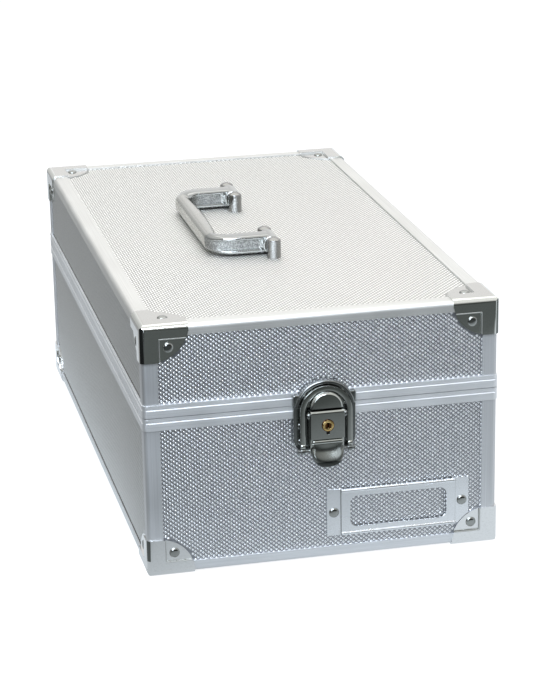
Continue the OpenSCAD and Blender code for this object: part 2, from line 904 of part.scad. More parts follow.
module cheek_side() {
    translate(loop_pin) circle(loop_end_r);
    polygon([[lever_y - lever_wall, lever_low], [lever_y - lever_wall, lever_top - lever_wall],
        [lever_pin[0] - cheek_back, lever_top - lever_wall], [lever_pin[0] - cheek_waist, lever_pin[1]],
        [loop_pin[0] - loop_end_r, loop_pin[1]], [loop_pin[0] + loop_end_r, loop_pin[1]]]);
}

module latch_lever() {
    color("darkslategray") seat() on_front() difference() {
        union() {
            side_plate(-lever_x, lever_x) lever_face_side();
            for (low = [-lever_x, lever_x - lever_wall]) side_plate(low, low + lever_wall) cheek_side();
            intersection() {
                side_plate(-tab_x, tab_x) tab_side();
                front_plate(0, lever_y + tab_flare + over) {
                    translate([-tab_x, tab_low + tab_x]) square([2 * tab_x, tab_h - tab_x + over]);
                    translate([0, tab_low + tab_x]) circle(tab_x);
                }
            }
        }
        cross_pin(lever_pin, latch_pin_r + fit, lever_x + over);
        cross_pin(loop_pin, latch_pin_r + fit, lever_x + over);
        front_plate(lever_pin[0], lever_y + over) translate([0, plug_z]) circle(plug_r + fit);
        front_plate(lever_y - lever_wall / 2, lever_y + over)
            translate([-key_notch[0] / 2, plug_z - plug_r - key_notch[1]])
            square([key_notch[0], plug_r]);
    }
}

module latch_lever_pin() {
    head_x = ear_x + ear_t + fit;
    color("silver") seat() on_front() {
        cross_pin(lever_pin, latch_pin_r, head_x + fit);
        for (s = [-1, 1]) translate([s * (head_x + pin_head_t / 2), 0, 0])
            cross_pin(lever_pin, pin_head_r, pin_head_t / 2);
    }
}

module loop_outline(r) {
    half_disc(r, arch_z, arch_z - fit);
    translate([-r, loop_pin[1]]) square([2 * r, arch_z - loop_pin[1]]);
}

module latch_loop() {
    leg_x = loop_r - loop_w / 2;
    color("darkslategray") seat() on_front() difference() {
        front_plate(loop_y, loop_y + loop_t) difference() {
            union() {
                loop_outline(loop_r);
                for (s = [-1, 1]) translate([s * leg_x, loop_pin[1]]) circle(loop_end_r);
            }
            translate([-loop_r + loop_w, loop_pin[1] - over - loop_end_r])
                square([2 * (loop_r - loop_w), arch_z - loop_pin[1] + over + loop_end_r]);
            half_disc(loop_r - loop_w, arch_z, arch_z - over);
        }
        cross_pin(loop_pin, latch_pin_r + fit / 2, loop_r + over);
    }
}

module latch_loop_pin() {
    head_x = loop_r + loop_end_r - loop_w / 2 + fit;
    color("silver") seat() on_front() {
        cross_pin(loop_pin, latch_pin_r, head_x);
        for (s = [-1, 1]) translate([s * (head_x + pin_head_t / 2), 0, 0])
            cross_pin(loop_pin, pin_head_r, pin_head_t / 2);
    }
}

module latch_key_plug() {
    color("goldenrod") seat() on_front() translate([0, 0, plug_z]) difference() {
        union() {
            front_plate(plug_back, lever_y + plug_out) circle(plug_r);
            front_plate(plug_back - tongue_t, plug_back + fit) {
                translate([0, -lock_half]) square([lock_reach, 2 * lock_half]);
                circle(plug_r / 2);
            }
        }
        front_plate(lever_y - plug_r, lever_y + plug_out + over)
            square([keyway, plug_r + keyway], center = true);
    }
}

// Label holder

module label_holder() {
    raised_x = label_w / 2 - label_flange;
    raised_y = label_sheet + label_raise;
    zc = label_z - split_z;
    color("silver") seat() difference() {
        on_front() translate([label_x, frame_t, zc]) difference() {
            union() {
                front_plate(0, label_sheet) square([label_w, label_h], center = true);
                front_plate(0, raised_y) square([2 * raised_x, label_h], center = true);
                for (s = [-1, 1])
                    translate([-raised_x, -raised_y + fit, s * (label_h / 2 - label_bead_r)])
                    rotate([0, 90, 0]) cylinder(r = label_bead_r, h = 2 * raised_x);
            }
            front_plate(-over, label_raise) translate([-raised_x + label_sheet, -label_h / 2 + label_sheet])
                square([2 * (raised_x - label_sheet), label_h + over]);
            front_plate(-over, raised_y + label_bead_r + over) round_rect(window_w, window_h, window_r);
            block([-label_w, 0, -label_h], [label_w, label_h, label_h]);
        }
        for (at = label_spots) front_rivet_hole(at);
        translate([case_w / 2 - cap_leg_x + cap_lobe_r, front_y + frame_t + over, cap_leg_z - cap_lobe_r])
            rotate([90, 0, 0]) cylinder(r = cap_lobe_r + body_gap, h = frame_t + 3 * over);
    }
}

module label_rivets() {
    color("silver") seat() for (at = label_spots) front_rivet(at, label_sheet - frame_t);
}

// Hinges

module at_hinges() {
    for (h = [-1, 1]) translate([h * hinge_x, back_y, split_z]) children();
}

// One joggled leaf, for the lid (up = 1) or the base (up = -1): it steps over the rim band onto the board
module leaf(up) {
    side = up > 0 ? 0 : 1;
    mid = hinge_w * knuckle_share / 2;
    face = rim_proud + seat_gap;
    band = split_gap / 2 + rim_h + fit;
    mirror([0, 0, side]) difference() {
        union() {
            block([-hinge_w / 2, face, split_gap / 2], [hinge_w / 2, face + leaf_t, band + leaf_step]);
            block([-hinge_w / 2, -frame_t, band], [hinge_w / 2, face + leaf_t, band + leaf_step]);
            block([-hinge_w / 2, -frame_t, band],
                [hinge_w / 2, -frame_t + leaf_t, split_gap / 2 + leaf_h]);
            translate([-hinge_w / 2, knuckle_y, 0]) rotate([0, 90, 0])
                cylinder(r = knuckle_r, h = hinge_w);
        }
        // The other leaf's knuckles take these places
        if (up > 0) {
            for (low = [-hinge_w / 2 - over, mid - fit]) block([low, -over, -knuckle_r - over],
                [low + hinge_w / 2 - mid + fit + over, knuckle_y + knuckle_r + over, knuckle_r + body_gap]);
        } else block([-mid - body_gap + fit, -over, -knuckle_r - over],
            [mid + body_gap - fit, knuckle_y + knuckle_r + over, knuckle_r + body_gap]);
        translate([-hinge_w / 2 - over, knuckle_y, 0]) rotate([0, 90, 0])
            cylinder(r = hinge_pin_r + fit, h = hinge_w + 2 * over);
    }
}

module hinge_base_leaves() {
    color("silver") seat() difference() {
        at_hinges() leaf(-1);
        leaf_rivet_holes(-1);
    }
}

module hinge_lid_leaves() {
    color("silver") seat() difference() {
        at_hinges() leaf(1);
        leaf_rivet_holes(1);
    }
}

module hinge_pins() {
    color("gray") seat() at_hinges() translate([-hinge_w / 2, knuckle_y, 0]) rotate([0, 90, 0])
        cylinder(r = hinge_pin_r, h = hinge_w);
}

module hinge_base_rivets() {
    color("silver") seat() leaf_rivet_set(-1);
}

module hinge_lid_rivets() {
    color("silver") seat() leaf_rivet_set(1);
}

lid_top_panel();
lid_front_panel();
lid_back_panel();
lid_left_panel();
lid_right_panel();
lid_top_bar("front");  // lid_top_bar_front
lid_top_bar("back");  // lid_top_bar_back
lid_top_bar("left");  // lid_top_bar_left
lid_top_bar("right");  // lid_top_bar_right
lid_rim_bar("front");  // lid_rim_bar_front
lid_rim_bar("back");  // lid_rim_bar_back
lid_rim_bar("left");  // lid_rim_bar_left
lid_rim_bar("right");  // lid_rim_bar_right
lid_corner_posts();
lid_cap(-1, -1);  // lid_cap_front_left
lid_cap(1, -1);  // lid_cap_front_right
lid_cap(-1, 1);  // lid_cap_back_left
lid_cap(1, 1);  // lid_cap_back_right
lid_cap_rivets();
lid_lining();
base_floor_panel();
base_front_panel();
base_back_panel();
base_left_panel();
base_right_panel();
base_floor_bar("front");  // base_floor_bar_front
base_floor_bar("back");  // base_floor_bar_back
base_floor_bar("left");  // base_floor_bar_left
base_floor_bar("right");  // base_floor_bar_right
base_rim_bar("front");  // base_rim_bar_front
base_rim_bar("back");  // base_rim_bar_back
base_rim_bar("left");  // base_rim_bar_left
base_rim_bar("right");  // base_rim_bar_right
base_corner_posts();
base_cap(-1, -1);  // base_cap_front_left
base_cap(1, -1);  // base_cap_front_right
base_cap(-1, 1);  // base_cap_back_left
base_cap(1, 1);  // base_cap_back_right
base_cap_rivets();
base_lining();
handle_bail();
handle_posts();
handle_pivot_pins();
handle_post_screws();
latch_catch();
latch_catch_rivets();
latch_plate();
latch_plate_rivets();
latch_lever();
latch_lever_pin();
latch_loop();
latch_loop_pin();
latch_key_plug();
label_holder();
label_rivets();
hinge_base_leaves();
hinge_lid_leaves();
hinge_pins();
hinge_base_rivets();
hinge_lid_rivets();
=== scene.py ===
# %% [markdown]
# # A framed postcard case
#
# The object is a small hard case: boards faced with a dotted metal sheet, bright angle profiles along every
# edge, pressed corner caps with rivets, a draw latch with a key, a label holder, and a handle that folds
# flat on the lid.
#
# The frame is loaded first. It brings every solid of the case in its true place, in metres, with +Z up and
# the latch at -Y. Later cells dress it: some solids only get a finish, and others are replaced by a finer
# piece.

# %% Load the frame
import json
import math

import bmesh
import bpy
from mathutils import Matrix, Vector


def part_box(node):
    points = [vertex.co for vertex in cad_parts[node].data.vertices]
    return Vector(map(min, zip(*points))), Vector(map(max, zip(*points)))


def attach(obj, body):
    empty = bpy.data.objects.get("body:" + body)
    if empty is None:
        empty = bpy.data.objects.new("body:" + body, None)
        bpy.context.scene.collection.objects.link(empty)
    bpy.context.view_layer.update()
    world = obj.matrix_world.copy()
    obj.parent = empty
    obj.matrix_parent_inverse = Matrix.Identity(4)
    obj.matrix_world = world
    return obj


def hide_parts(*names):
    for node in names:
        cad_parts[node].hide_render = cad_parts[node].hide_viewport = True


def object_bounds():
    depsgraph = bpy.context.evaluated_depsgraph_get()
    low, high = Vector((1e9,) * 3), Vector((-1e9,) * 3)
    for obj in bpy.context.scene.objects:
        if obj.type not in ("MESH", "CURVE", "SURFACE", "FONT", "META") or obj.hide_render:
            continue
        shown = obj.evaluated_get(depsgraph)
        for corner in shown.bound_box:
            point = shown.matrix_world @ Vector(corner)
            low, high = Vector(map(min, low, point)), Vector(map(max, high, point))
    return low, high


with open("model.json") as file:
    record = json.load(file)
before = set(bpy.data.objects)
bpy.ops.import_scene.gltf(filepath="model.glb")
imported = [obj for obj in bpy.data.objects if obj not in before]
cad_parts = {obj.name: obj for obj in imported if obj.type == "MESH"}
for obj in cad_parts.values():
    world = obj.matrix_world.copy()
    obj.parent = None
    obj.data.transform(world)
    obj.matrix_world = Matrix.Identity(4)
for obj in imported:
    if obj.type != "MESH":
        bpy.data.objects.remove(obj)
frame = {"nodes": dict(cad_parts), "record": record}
cad_box = [list(corner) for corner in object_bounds()]
MM = 0.001
X, Y, Z = 0, 1, 2
AXES = Matrix.Identity(3)
NODES = frame["nodes"]
CAPS = [node for node in NODES if "_cap_" in node and not node.endswith("rivets")]
BODIES = frame["record"]["behaviour"]["bodies"]
BODY_OF = {node: body for body, members in BODIES.items() for node in members}


def put(name, data):
    """A new object in the scene."""
    thing = bpy.data.objects.new(name, data)
    bpy.context.scene.collection.objects.link(thing)
    return thing


def mesh_of(bm, name):
    """A new mesh with what a bmesh holds."""
    mesh = bpy.data.meshes.new(name)
    bm.to_mesh(mesh)
    return mesh


print("nodes:", len(NODES), "caps:", len(CAPS), "bodies:", sorted(BODIES))

# %% [markdown]
# ## The camera
#
# A camera is an object whose local -Z axis looks forward. The view is set from three angles, as a
# photographer would speak of them: how far round the object, how high above it, and how far the camera
# itself is tilted. The three axes are built as vectors and put into the columns of one matrix.

# %% Camera
AZIMUTH, ELEVATION, ROLL = (math.radians(angle) for angle in (-12.44, 18.25, -1.05))
EYE = Vector((-246.8, -1160.0, 446.8)) * MM
LENS = 121.07


def camera_turn(azimuth, elevation, roll):
    """The rotation whose columns are the camera's right, up and back directions."""
    flat = math.cos(elevation)
    back = Vector((math.sin(azimuth) * flat, -math.cos(azimuth) * flat, math.sin(elevation)))
    right = (-back).cross(Vector((0, 0, 1))).normalized()
    up = back.cross(right)
    tilted = math.cos(roll) * right + math.sin(roll) * up
    return Matrix((tilted, back.cross(tilted), back)).transposed()


camera = put("camera", bpy.data.cameras.new("camera"))
camera.data.lens = LENS
camera.matrix_world = Matrix.Translation(EYE) @ camera_turn(AZIMUTH, ELEVATION, ROLL).to_4x4()
bpy.context.scene.camera = camera
bpy.context.scene.view_settings.view_transform = "Standard"
print("camera at", [round(v, 3) for v in EYE], "lens", LENS)

# %% [markdown]
# ## Small helpers for node trees
#
# A finish is a little graph of nodes. `add` makes one node and sets its sockets or settings by name, and
# `link` joins two sockets. The other helpers each make one step of a graph and give back its output.
# Positions come from Object coordinates, so a pattern stays fixed to the case in any view.

# %% Node helpers


def add(tree, kind, **settings):
    """A new node, with values for its sockets or settings."""
    node = tree.nodes.new(kind)
    for name, value in settings.items():
        if name in node.inputs:
            node.inputs[name].default_value = value
        else:
            setattr(node, name, value)
    return node


def link(tree, source, target):
    tree.links.new(source, target)


def place(tree, scale, turn=(0, 0, 0)):
    """Object coordinates, stretched by a scale per metre."""
    where = add(tree, "ShaderNodeTexCoord")
    mapping = add(tree, "ShaderNodeMapping", Scale=scale, Rotation=turn)
    link(tree, where.outputs["Object"], mapping.inputs["Vector"])
    return mapping.outputs["Vector"]


def noise(tree, scale, detail, turn=(0, 0, 0)):
    """Noise with one scale per metre, or with a scale for each axis."""
    texture = add(tree, "ShaderNodeTexNoise", Scale=1.0, Detail=detail)
    scales = scale if isinstance(scale, (list, tuple)) else [scale] * 3
    link(tree, place(tree, scales, turn), texture.inputs["Vector"])
    return texture.outputs["Fac"]


def between(tree, factor, low, high, start=0.3, stop=0.7):
    """Maps a noise, whose values crowd round one half, to a range."""
    span = add(tree, "ShaderNodeMapRange")
    for name, value in (("From Min", start), ("From Max", stop), ("To Min", low), ("To Max", high)):
        span.inputs[name].default_value = value
    link(tree, factor, span.inputs["Value"])
    return span.outputs["Result"]


def fade(tree, value, start, stop):
    """Zero up to one end of a range, one from the other end on, and a slope between."""
    return between(tree, value, 0.0, 1.0, start, stop)


def combined(tree, operation, *values):
    """The result of a Math node, whose inputs are numbers or other nodes' outputs."""
    node = add(tree, "ShaderNodeMath", operation=operation)
    for socket, value in zip(node.inputs, values):
        if isinstance(value, float):
            socket.default_value = value
        else:
            link(tree, value, socket)
    return node.outputs[0]


def blend(tree, factor, first, second):
    """Mixes two colours, each of them a plain colour or another node's output."""
    mix = add(tree, "ShaderNodeMix", data_type="RGBA")
    link(tree, factor, mix.inputs["Factor"])
    for socket, colour in ((mix.inputs[6], first), (mix.inputs[7], second)):
        if isinstance(colour, tuple):
            socket.default_value = (*colour, 1)
        else:
            link(tree, colour, socket)
    return mix.outputs[2]


def choose(tree, factor, first, second, surface):
    """Gives an output the first of two shaders where the factor is zero, and the second where it is one."""
    choice = add(tree, "ShaderNodeMixShader")
    for socket, source in zip(choice.inputs, (factor, first, second)):
        link(tree, source, socket)
    link(tree, choice.outputs["Shader"], surface)


def bump(tree, shader, height, strength, distance):
    """Relief without geometry: a height, how strong it is, and its depth in metres."""
    relief = add(tree, "ShaderNodeBump", Strength=strength, Distance=distance)
    link(tree, height, relief.inputs["Height"])
    link(tree, relief.outputs["Normal"], shader.inputs["Normal"])


def new_finish(name, **sockets):
    """A material with its tree and shader; socket names have _ for a space."""
    finish = bpy.data.materials.new(name)
    finish.use_nodes = True
    shader = finish.node_tree.nodes["Principled BSDF"]
    for socket, value in sockets.items():
        shader.inputs[socket.replace("_", " ")].default_value = value
    return finish, finish.node_tree, shader


print("node helpers ready")

# %% [markdown]
# ## Light, floor and background
#
# The case stands on white paper. Polished metal is a mirror, so the room counts as much as the lamps do: it
# is white behind the case and overhead, and dark in front, where the viewer stands. The floor that the metal
# mirrors is painted dark from a little way in front of the case, and painted with shade to its left. So a low
# corner cap mirrors white paper, and a high one mirrors the dark room.
#
# `Is Camera Ray` makes the background pure white. Glossy and transmission rays see that paper and backdrop
# with its painted dark and shade and the room's fall-off, and every other ray meets a plain lit floor, so the
# case keeps its own soft shadow.

# %% World
world = bpy.data.worlds.new("studio")
bpy.context.scene.world = world
world.use_nodes = True
sky = world.node_tree
sky.nodes.clear()


def seen_by_eye_or_gloss(tree):
    """One for camera, glossy and transmission rays, and the camera ray by itself."""
    ray = add(tree, "ShaderNodeLightPath").outputs
    mirrored = combined(tree, "MAXIMUM", ray["Is Glossy Ray"], ray["Is Transmission Ray"])
    return combined(tree, "MAXIMUM", mirrored, ray["Is Camera Ray"]), ray["Is Camera Ray"]


WHITE = (1, 1, 1)
AMBIENT, CEILING, DARK_ROOM = (0.62, 0.64, 0.66), (0.95, 0.95, 0.94), (0.060, 0.066, 0.064)
LEFT_ROOM, RIGHT_ROOM = (0.40, 0.41, 0.41), (0.95, 0.97, 1.0)
# Where one part of the room turns into the next, along one axis of a ray's direction.
FRONT_TO_SIDE, SIDE_TO_BACK = (-0.80, -0.30), (0.10, 0.75)
LEFT_TO_RIGHT, LEFT_TO_BACKDROP, WALL_TO_CEILING = (-0.10, 0.45), (-0.42, 0.0), (0.30, 0.70)

seen, camera_ray = seen_by_eye_or_gloss(sky)
direction = add(sky, "ShaderNodeTexCoord")
parts = add(sky, "ShaderNodeSeparateXYZ")
link(sky, direction.outputs["Generated"], parts.inputs["Vector"])
across, depth, height = parts.outputs
sides = blend(sky, fade(sky, across, *LEFT_TO_RIGHT), LEFT_ROOM, RIGHT_ROOM)
ahead = blend(sky, fade(sky, depth, *FRONT_TO_SIDE), DARK_ROOM, sides)
behind = blend(sky, fade(sky, across, *LEFT_TO_BACKDROP), LEFT_ROOM, WHITE)
walls = blend(sky, fade(sky, depth, *SIDE_TO_BACK), ahead, behind)
room = blend(sky, fade(sky, height, *WALL_TO_CEILING), walls, CEILING)
backdrop = add(sky, "ShaderNodeBackground", Strength=1.0)
link(sky, blend(sky, camera_ray, room, WHITE), backdrop.inputs["Color"])
ambient = add(sky, "ShaderNodeBackground", Color=(*AMBIENT, 1), Strength=1.0)
choose(sky, seen, ambient.outputs["Background"], backdrop.outputs["Background"],
       add(sky, "ShaderNodeOutputWorld").inputs["Surface"])
print("world: white behind and overhead, dark in front")

# %% Lamps


def soft_lamp(name, where, aim, size, watts, colour):
    """A rectangular lamp that faces the place it is aimed at."""
    lamp = put(name, bpy.data.lights.new(name, "AREA"))
    lamp.data.shape = "RECTANGLE"
    lamp.data.size, lamp.data.size_y = size
    lamp.data.energy = watts
    lamp.data.color = colour
    lamp.location = where
    lamp.rotation_euler = (Vector(aim) - Vector(where)).to_track_quat("-Z", "Y").to_euler()
    print(name, watts, "W")


DAYLIGHT, WARM_WHITE = (0.79, 0.88, 1.0), (1.0, 0.985, 0.96)
LID, MIDDLE = (0, 0.05, 0.1), (0, 0, 0.06)
soft_lamp("overhead_softbox", (0.15, 0.45, 1.25), LID, (1.3, 1.0), 3.5, WARM_WHITE)
soft_lamp("front_softbox", (-0.45, -1.05, 1.30), MIDDLE, (1.4, 0.6), 26, DAYLIGHT)
soft_lamp("low_window", (-0.45, -1.30, 0.40), MIDDLE, (0.5, 0.35), 3, DAYLIGHT)

# %% Floor
FLOOR_HALF = 4.0
FLOOR_GREY, PAPER = (0.80, 0.80, 0.80), (0.87, 0.94, 1.0)
SHADED_FLOOR, DARK_FLOOR, BLACK_FLOOR = (0.38, 0.39, 0.39), (0.058, 0.068, 0.062), (0.012, 0.014, 0.014)
PAPER_GLOW, PAPER_SEEN, PAPER_MIRRORED = 0.80, (0.34, 0.34, 0.34), (0.035, 0.035, 0.035)
# Where the tones of the mirrored floor meet, in metres: the painted dark in front and the painted shade to
# the left. The front edge of the painted dark slants.
ROOM_TO_PAPER, PAPER_SLANT, FRONT_TO_BACK = (-0.37, -0.14), 0.6, (-0.06, 0.08)
LEFT_TO_SHADE, SHADE_TO_PAPER = (-0.32, -0.22), (-0.20, -0.10)

floor_mesh = bmesh.new()
bmesh.ops.create_grid(floor_mesh, x_segments=1, y_segments=1, size=FLOOR_HALF)
floor = put("floor", mesh_of(floor_mesh, "floor"))
floor_mesh.free()

floor_finish, tree, shader = new_finish("white floor", Roughness=0.9, Specular_IOR_Level=0.1)
shader.inputs["Base Color"].default_value = (*FLOOR_GREY, 1)
separate = add(tree, "ShaderNodeSeparateXYZ")
link(tree, place(tree, (1, 1, 1)), separate.inputs["Vector"])
across, depth, _ = separate.outputs
near = fade(tree, combined(tree, "MULTIPLY_ADD", across, PAPER_SLANT, depth), *ROOM_TO_PAPER)
beside = fade(tree, depth, *FRONT_TO_BACK)
right = fade(tree, across, *SHADE_TO_PAPER)
left = fade(tree, across, *LEFT_TO_SHADE)
# Painted shade for the mirrored floor: grey to the left of the case, black further left towards the front,
# and dark further ahead.
shade = blend(tree, left, blend(tree, beside, BLACK_FLOOR, SHADED_FLOOR), SHADED_FLOOR)
ahead = blend(tree, left, BLACK_FLOOR, DARK_FLOOR)
mirrored = blend(tree, near, ahead, blend(tree, right, shade, PAPER))
seen, camera_ray = seen_by_eye_or_gloss(tree)
glow = add(tree, "ShaderNodeEmission", Strength=PAPER_GLOW)
link(tree, blend(tree, camera_ray, mirrored, WHITE), glow.inputs["Color"])
paper = add(tree, "ShaderNodeBsdfDiffuse")
link(tree, blend(tree, camera_ray, PAPER_MIRRORED, PAPER_SEEN), paper.inputs["Color"])
sheet = add(tree, "ShaderNodeAddShader")
link(tree, paper.outputs["BSDF"], sheet.inputs[0])
link(tree, glow.outputs["Emission"], sheet.inputs[1])
surface = tree.nodes["Material Output"].inputs["Surface"]
choose(tree, seen, shader.outputs["BSDF"], sheet.outputs["Shader"], surface)
floor.data.materials.append(floor_finish)
print("floor: white paper that ends towards the viewer")

# %% [markdown]
# ## Metal finishes
#
# All the fittings are metal, so their shader has Metallic at one and differs in three things: the tint, how
# rough the surface is, and the pattern of that roughness. Brushed profile has very long thin scratches along
# its length, which is a noise stretched by a different scale on each axis. Plated chrome is nearly smooth,
# with faint smudges and a very low ripple that bends its reflections, as pressed sheet does. The tints are
# dark greys. Many of them are lit and shaded copies of one metal, with painted light and shade: the profiles
# by place, the caps by the way a face points, and the latch's plate, hood, loop eyes, tab and lip. The
# pressed ridges, rubbed by use, are duller.

# %% Brushed and plated metal


def brushed(name, along, tint=(0.74, 0.755, 0.77), rough=(0.50, 0.62)):
    """Metal with scratches along one axis, 0 for X, 1 for Y and 2 for Z."""
    finish, tree, shader = new_finish(name, Metallic=1.0)
    long_grain = [2600.0] * 3
    long_grain[along] = 16.0
    grain = noise(tree, long_grain, 3.0)
    smudge = noise(tree, 38, 3.0)
    pale = tuple(min(1.0, c * 1.06) for c in tint)
    dull = tuple(c * 0.92 for c in tint)
    link(tree, blend(tree, between(tree, grain, 0, 1), dull, pale), shader.inputs["Base Color"])
    link(tree, between(tree, smudge, *rough), shader.inputs["Roughness"])
    bump(tree, shader, grain, 0.12, 0.00003)
    return finish


def plated(name, tint, rough, ripple=0.00012):
    """Polished plating over pressed or cast metal."""
    finish, tree, shader = new_finish(name, Metallic=1.0)
    smudge = noise(tree, 60, 4.0)
    scratch = noise(tree, (900, 2600, 1400), 3.0, turn=(0.4, 0.7, 0.2))
    waves = noise(tree, 85, 1.0)
    link(tree, between(tree, smudge, *rough), shader.inputs["Roughness"])
    dull = tuple(c * 0.93 for c in tint)
    link(tree, blend(tree, fade(tree, scratch, 0.50, 0.80), tint, dull), shader.inputs["Base Color"])
    bump(tree, shader, combined(tree, "MULTIPLY_ADD", scratch, 0.06, waves), 0.5, ripple)
    return finish


def profile_pair(name, **look):
    """One brushed finish along X and one along Y."""
    return {axis: brushed(name + " " + axis, index, **look) for index, axis in enumerate("xy")}


# The profiles are one brushed aluminium. The copies for the top bars, rims and posts are tinted by place as
# painted light and shade: darker on the top bars and posts, paler on the rims.
PROFILE = profile_pair("brushed profile")
PROFILE_TOP_SHADED = profile_pair("brushed top profile", tint=(0.74, 0.735, 0.71))
PROFILE_RIM_LIT = profile_pair("brushed rim", tint=(0.84, 0.85, 0.86))
PROFILE_POST_SHADED = brushed("brushed post", Z, tint=(0.66, 0.67, 0.68))
HINGE_STEEL = brushed("hinge steel", X, rough=(0.22, 0.36))
CAP_CHROME = plated("cap chrome", (0.77, 0.785, 0.75), (0.05, 0.11), 0.00008)
LOW_CAP_PAINTED_LIGHT = plated("base cap painted light", (0.82, 0.825, 0.82), (0.05, 0.11), 0.00008)
EDGE_PAINTED_REFLECTION = plated("cap edge painted reflection", (0.15, 0.16, 0.15), (0.12, 0.22), 0.00005)
SIDE_CAP_PAINTED_LIGHT = plated("cap side painted light", (0.93, 0.93, 0.92), (0.08, 0.16), 0.00005)
RUBBED_EDGE = plated("rubbed edge", (0.58, 0.59, 0.57), (0.36, 0.48), 0.00003)
TOP_CAP_PAINTED_SHADE = plated("cap top painted shade", (0.66, 0.655, 0.63), (0.08, 0.18), 0.00008)
STEP_PAINTED_LIGHT = plated("cap step painted light", (0.80, 0.795, 0.775), (0.50, 0.60), 0.00003)
HANDLE_CHROME = plated("handle chrome", (0.46, 0.47, 0.46), (0.04, 0.10))
LATCH_CHROME = plated("latch chrome", (0.50, 0.515, 0.485), (0.06, 0.13))
TAB_PAINTED_SHADE = plated("tab chrome painted shade", (0.25, 0.26, 0.24), (0.18, 0.28))
LATCH_PAINTED_SHADE = plated("latch painted shade", (0.27, 0.28, 0.275), (0.10, 0.20))
LIP_PAINTED_SHADE = plated("tab lip painted shade", (0.055, 0.06, 0.055), (0.14, 0.24))
RIVET_STEEL = plated("rivet steel", (0.36, 0.37, 0.355), (0.08, 0.16), 0.00004)
LABEL_STEEL = plated("label steel", (0.84, 0.86, 0.88), (0.20, 0.32))
SATIN_GRIP = plated("satin grip", (0.56, 0.56, 0.53), (0.20, 0.30))
POST_STEEL = plated("post steel", (0.335, 0.335, 0.325), (0.14, 0.24))
print("metal finishes:", len(bpy.data.materials) - 1)

# %% [markdown]
# ## Brass, felt and the dotted facing
#
# The lining is felt: a soft dark base with a sheen and short fibres in the bump. All the other finishes here
# are metal with one fine grain: the turned brass of the key plug, the rough web of the handle's casting, and
# the facing. The facing is a thin embossed sheet of one metal. Its dots are tinted bright as a painted
# highlight, and the ground between them is dull blue grey, darker as painted shade. Ground and dots are two
# finishes on the faces of one mesh. The top is smoother than the front, and the sides are paler still and
# nearly plain, so the top boards and the side boards get lit copies of the same facing, paler and with less
# contrast: painted light.

# %% Brass, felt and facing


def grained(name, dull, bright, rough, scale, relief, depth, detail=3.0, contrast=(0.3, 0.7)):
    """Metal whose fine grain shows in its tint, its roughness and its relief alike."""
    finish, tree, shader = new_finish(name, Metallic=1.0)
    grain = noise(tree, scale, detail)
    link(tree, blend(tree, fade(tree, grain, *contrast), dull, bright), shader.inputs["Base Color"])
    link(tree, between(tree, grain, *rough), shader.inputs["Roughness"])
    bump(tree, shader, grain, relief, depth)
    return finish


def turned(name, dull, bright):
    return grained(name, dull, bright, (0.16, 0.34), 1500, 0.3, 0.00003)


def facing(name, tint, shade, rough):
    return grained(name, shade, tint, rough, 700, 0.15, 0.00004)


def felt():
    finish, tree, shader = new_finish("lining felt", Sheen_Weight=0.6, Sheen_Roughness=0.5,
                                      Specular_IOR_Level=0.2)
    fibre = noise(tree, 1600, 5.0)
    nap = noise(tree, 55, 3.0)
    threads = blend(tree, between(tree, fibre, 0, 1), (0.018, 0.018, 0.021), (0.055, 0.055, 0.060))
    colour = blend(tree, between(tree, nap, 0, 0.5), threads, (0.030, 0.030, 0.034))
    link(tree, colour, shader.inputs["Base Color"])
    link(tree, between(tree, fibre, 0.80, 0.98), shader.inputs["Roughness"])
    bump(tree, shader, fibre, 0.6, 0.0003)
    return finish


BRASS = turned("turned brass", (0.70, 0.46, 0.15), (0.95, 0.74, 0.36))
PLUG_PAINTED_SHADE = turned("plug brass painted shade", (0.10, 0.04, 0.015), (0.26, 0.11, 0.04))
KEYWAY_PAINTED_SHADE = turned("keyway painted shade", (0.02, 0.02, 0.02), (0.05, 0.045, 0.04))
SEAM_DARK = turned("dark seam", (0.03, 0.03, 0.03), (0.07, 0.07, 0.065))
WEB_STEEL = grained("cast web", (0.25, 0.255, 0.25), (0.55, 0.555, 0.54), (0.26, 0.46), 1500, 0.8, 0.0003,
                    detail=4.0, contrast=(0.42, 0.62))
FELT = felt()
# Bright dots are a painted highlight and the darker ground is painted shade; the top and side copies are lit
# copies, painted light.
FRONT_FACING = (facing("facing ground", (0.375, 0.385, 0.41), (0.29, 0.30, 0.325), (0.38, 0.50)),
                facing("facing dots", (0.97, 0.975, 0.98), (0.92, 0.93, 0.94), (0.21, 0.31)))
LIT_FACING_TOP = (facing("top ground", (0.51, 0.51, 0.495), (0.43, 0.43, 0.415), (0.40, 0.52)),
              facing("top dots", (0.94, 0.94, 0.92), (0.88, 0.88, 0.86), (0.28, 0.40)))
LIT_FACING_SIDE = (facing("side ground", (0.66, 0.665, 0.66), (0.60, 0.605, 0.60), (0.44, 0.56)),
               facing("side dots", (0.77, 0.775, 0.765), (0.71, 0.715, 0.705), (0.38, 0.50)))
print("other finishes: brass, web, felt, facings")

# %% [markdown]
# ## From a bmesh to a finished piece
#
# `finished` turns a bmesh into an object, gives it smooth shading with crisp corners, its finishes, the
# body that it moves with, and the solid that it stands for. Every piece of the lesson goes through it.
# `paint` gives faces the second or third finish of a piece. The faces are chosen by place and direction,
# because bevels and cuts renumber them.

# %% Finishing helper


def add_mesh(bm, other):
    """Puts another bmesh into this one and frees it."""
    mesh = mesh_of(other, "part")
    other.free()
    bm.from_mesh(mesh)
    bpy.data.meshes.remove(mesh)


def paint(bm, material, chosen=None):
    """Gives another finish to all faces, or to those chosen by their middle, in mm, and their normal."""
    for face in bm.faces:
        if chosen is None or chosen(face.calc_center_median() / MM, face.normal):
            face.material_index = material


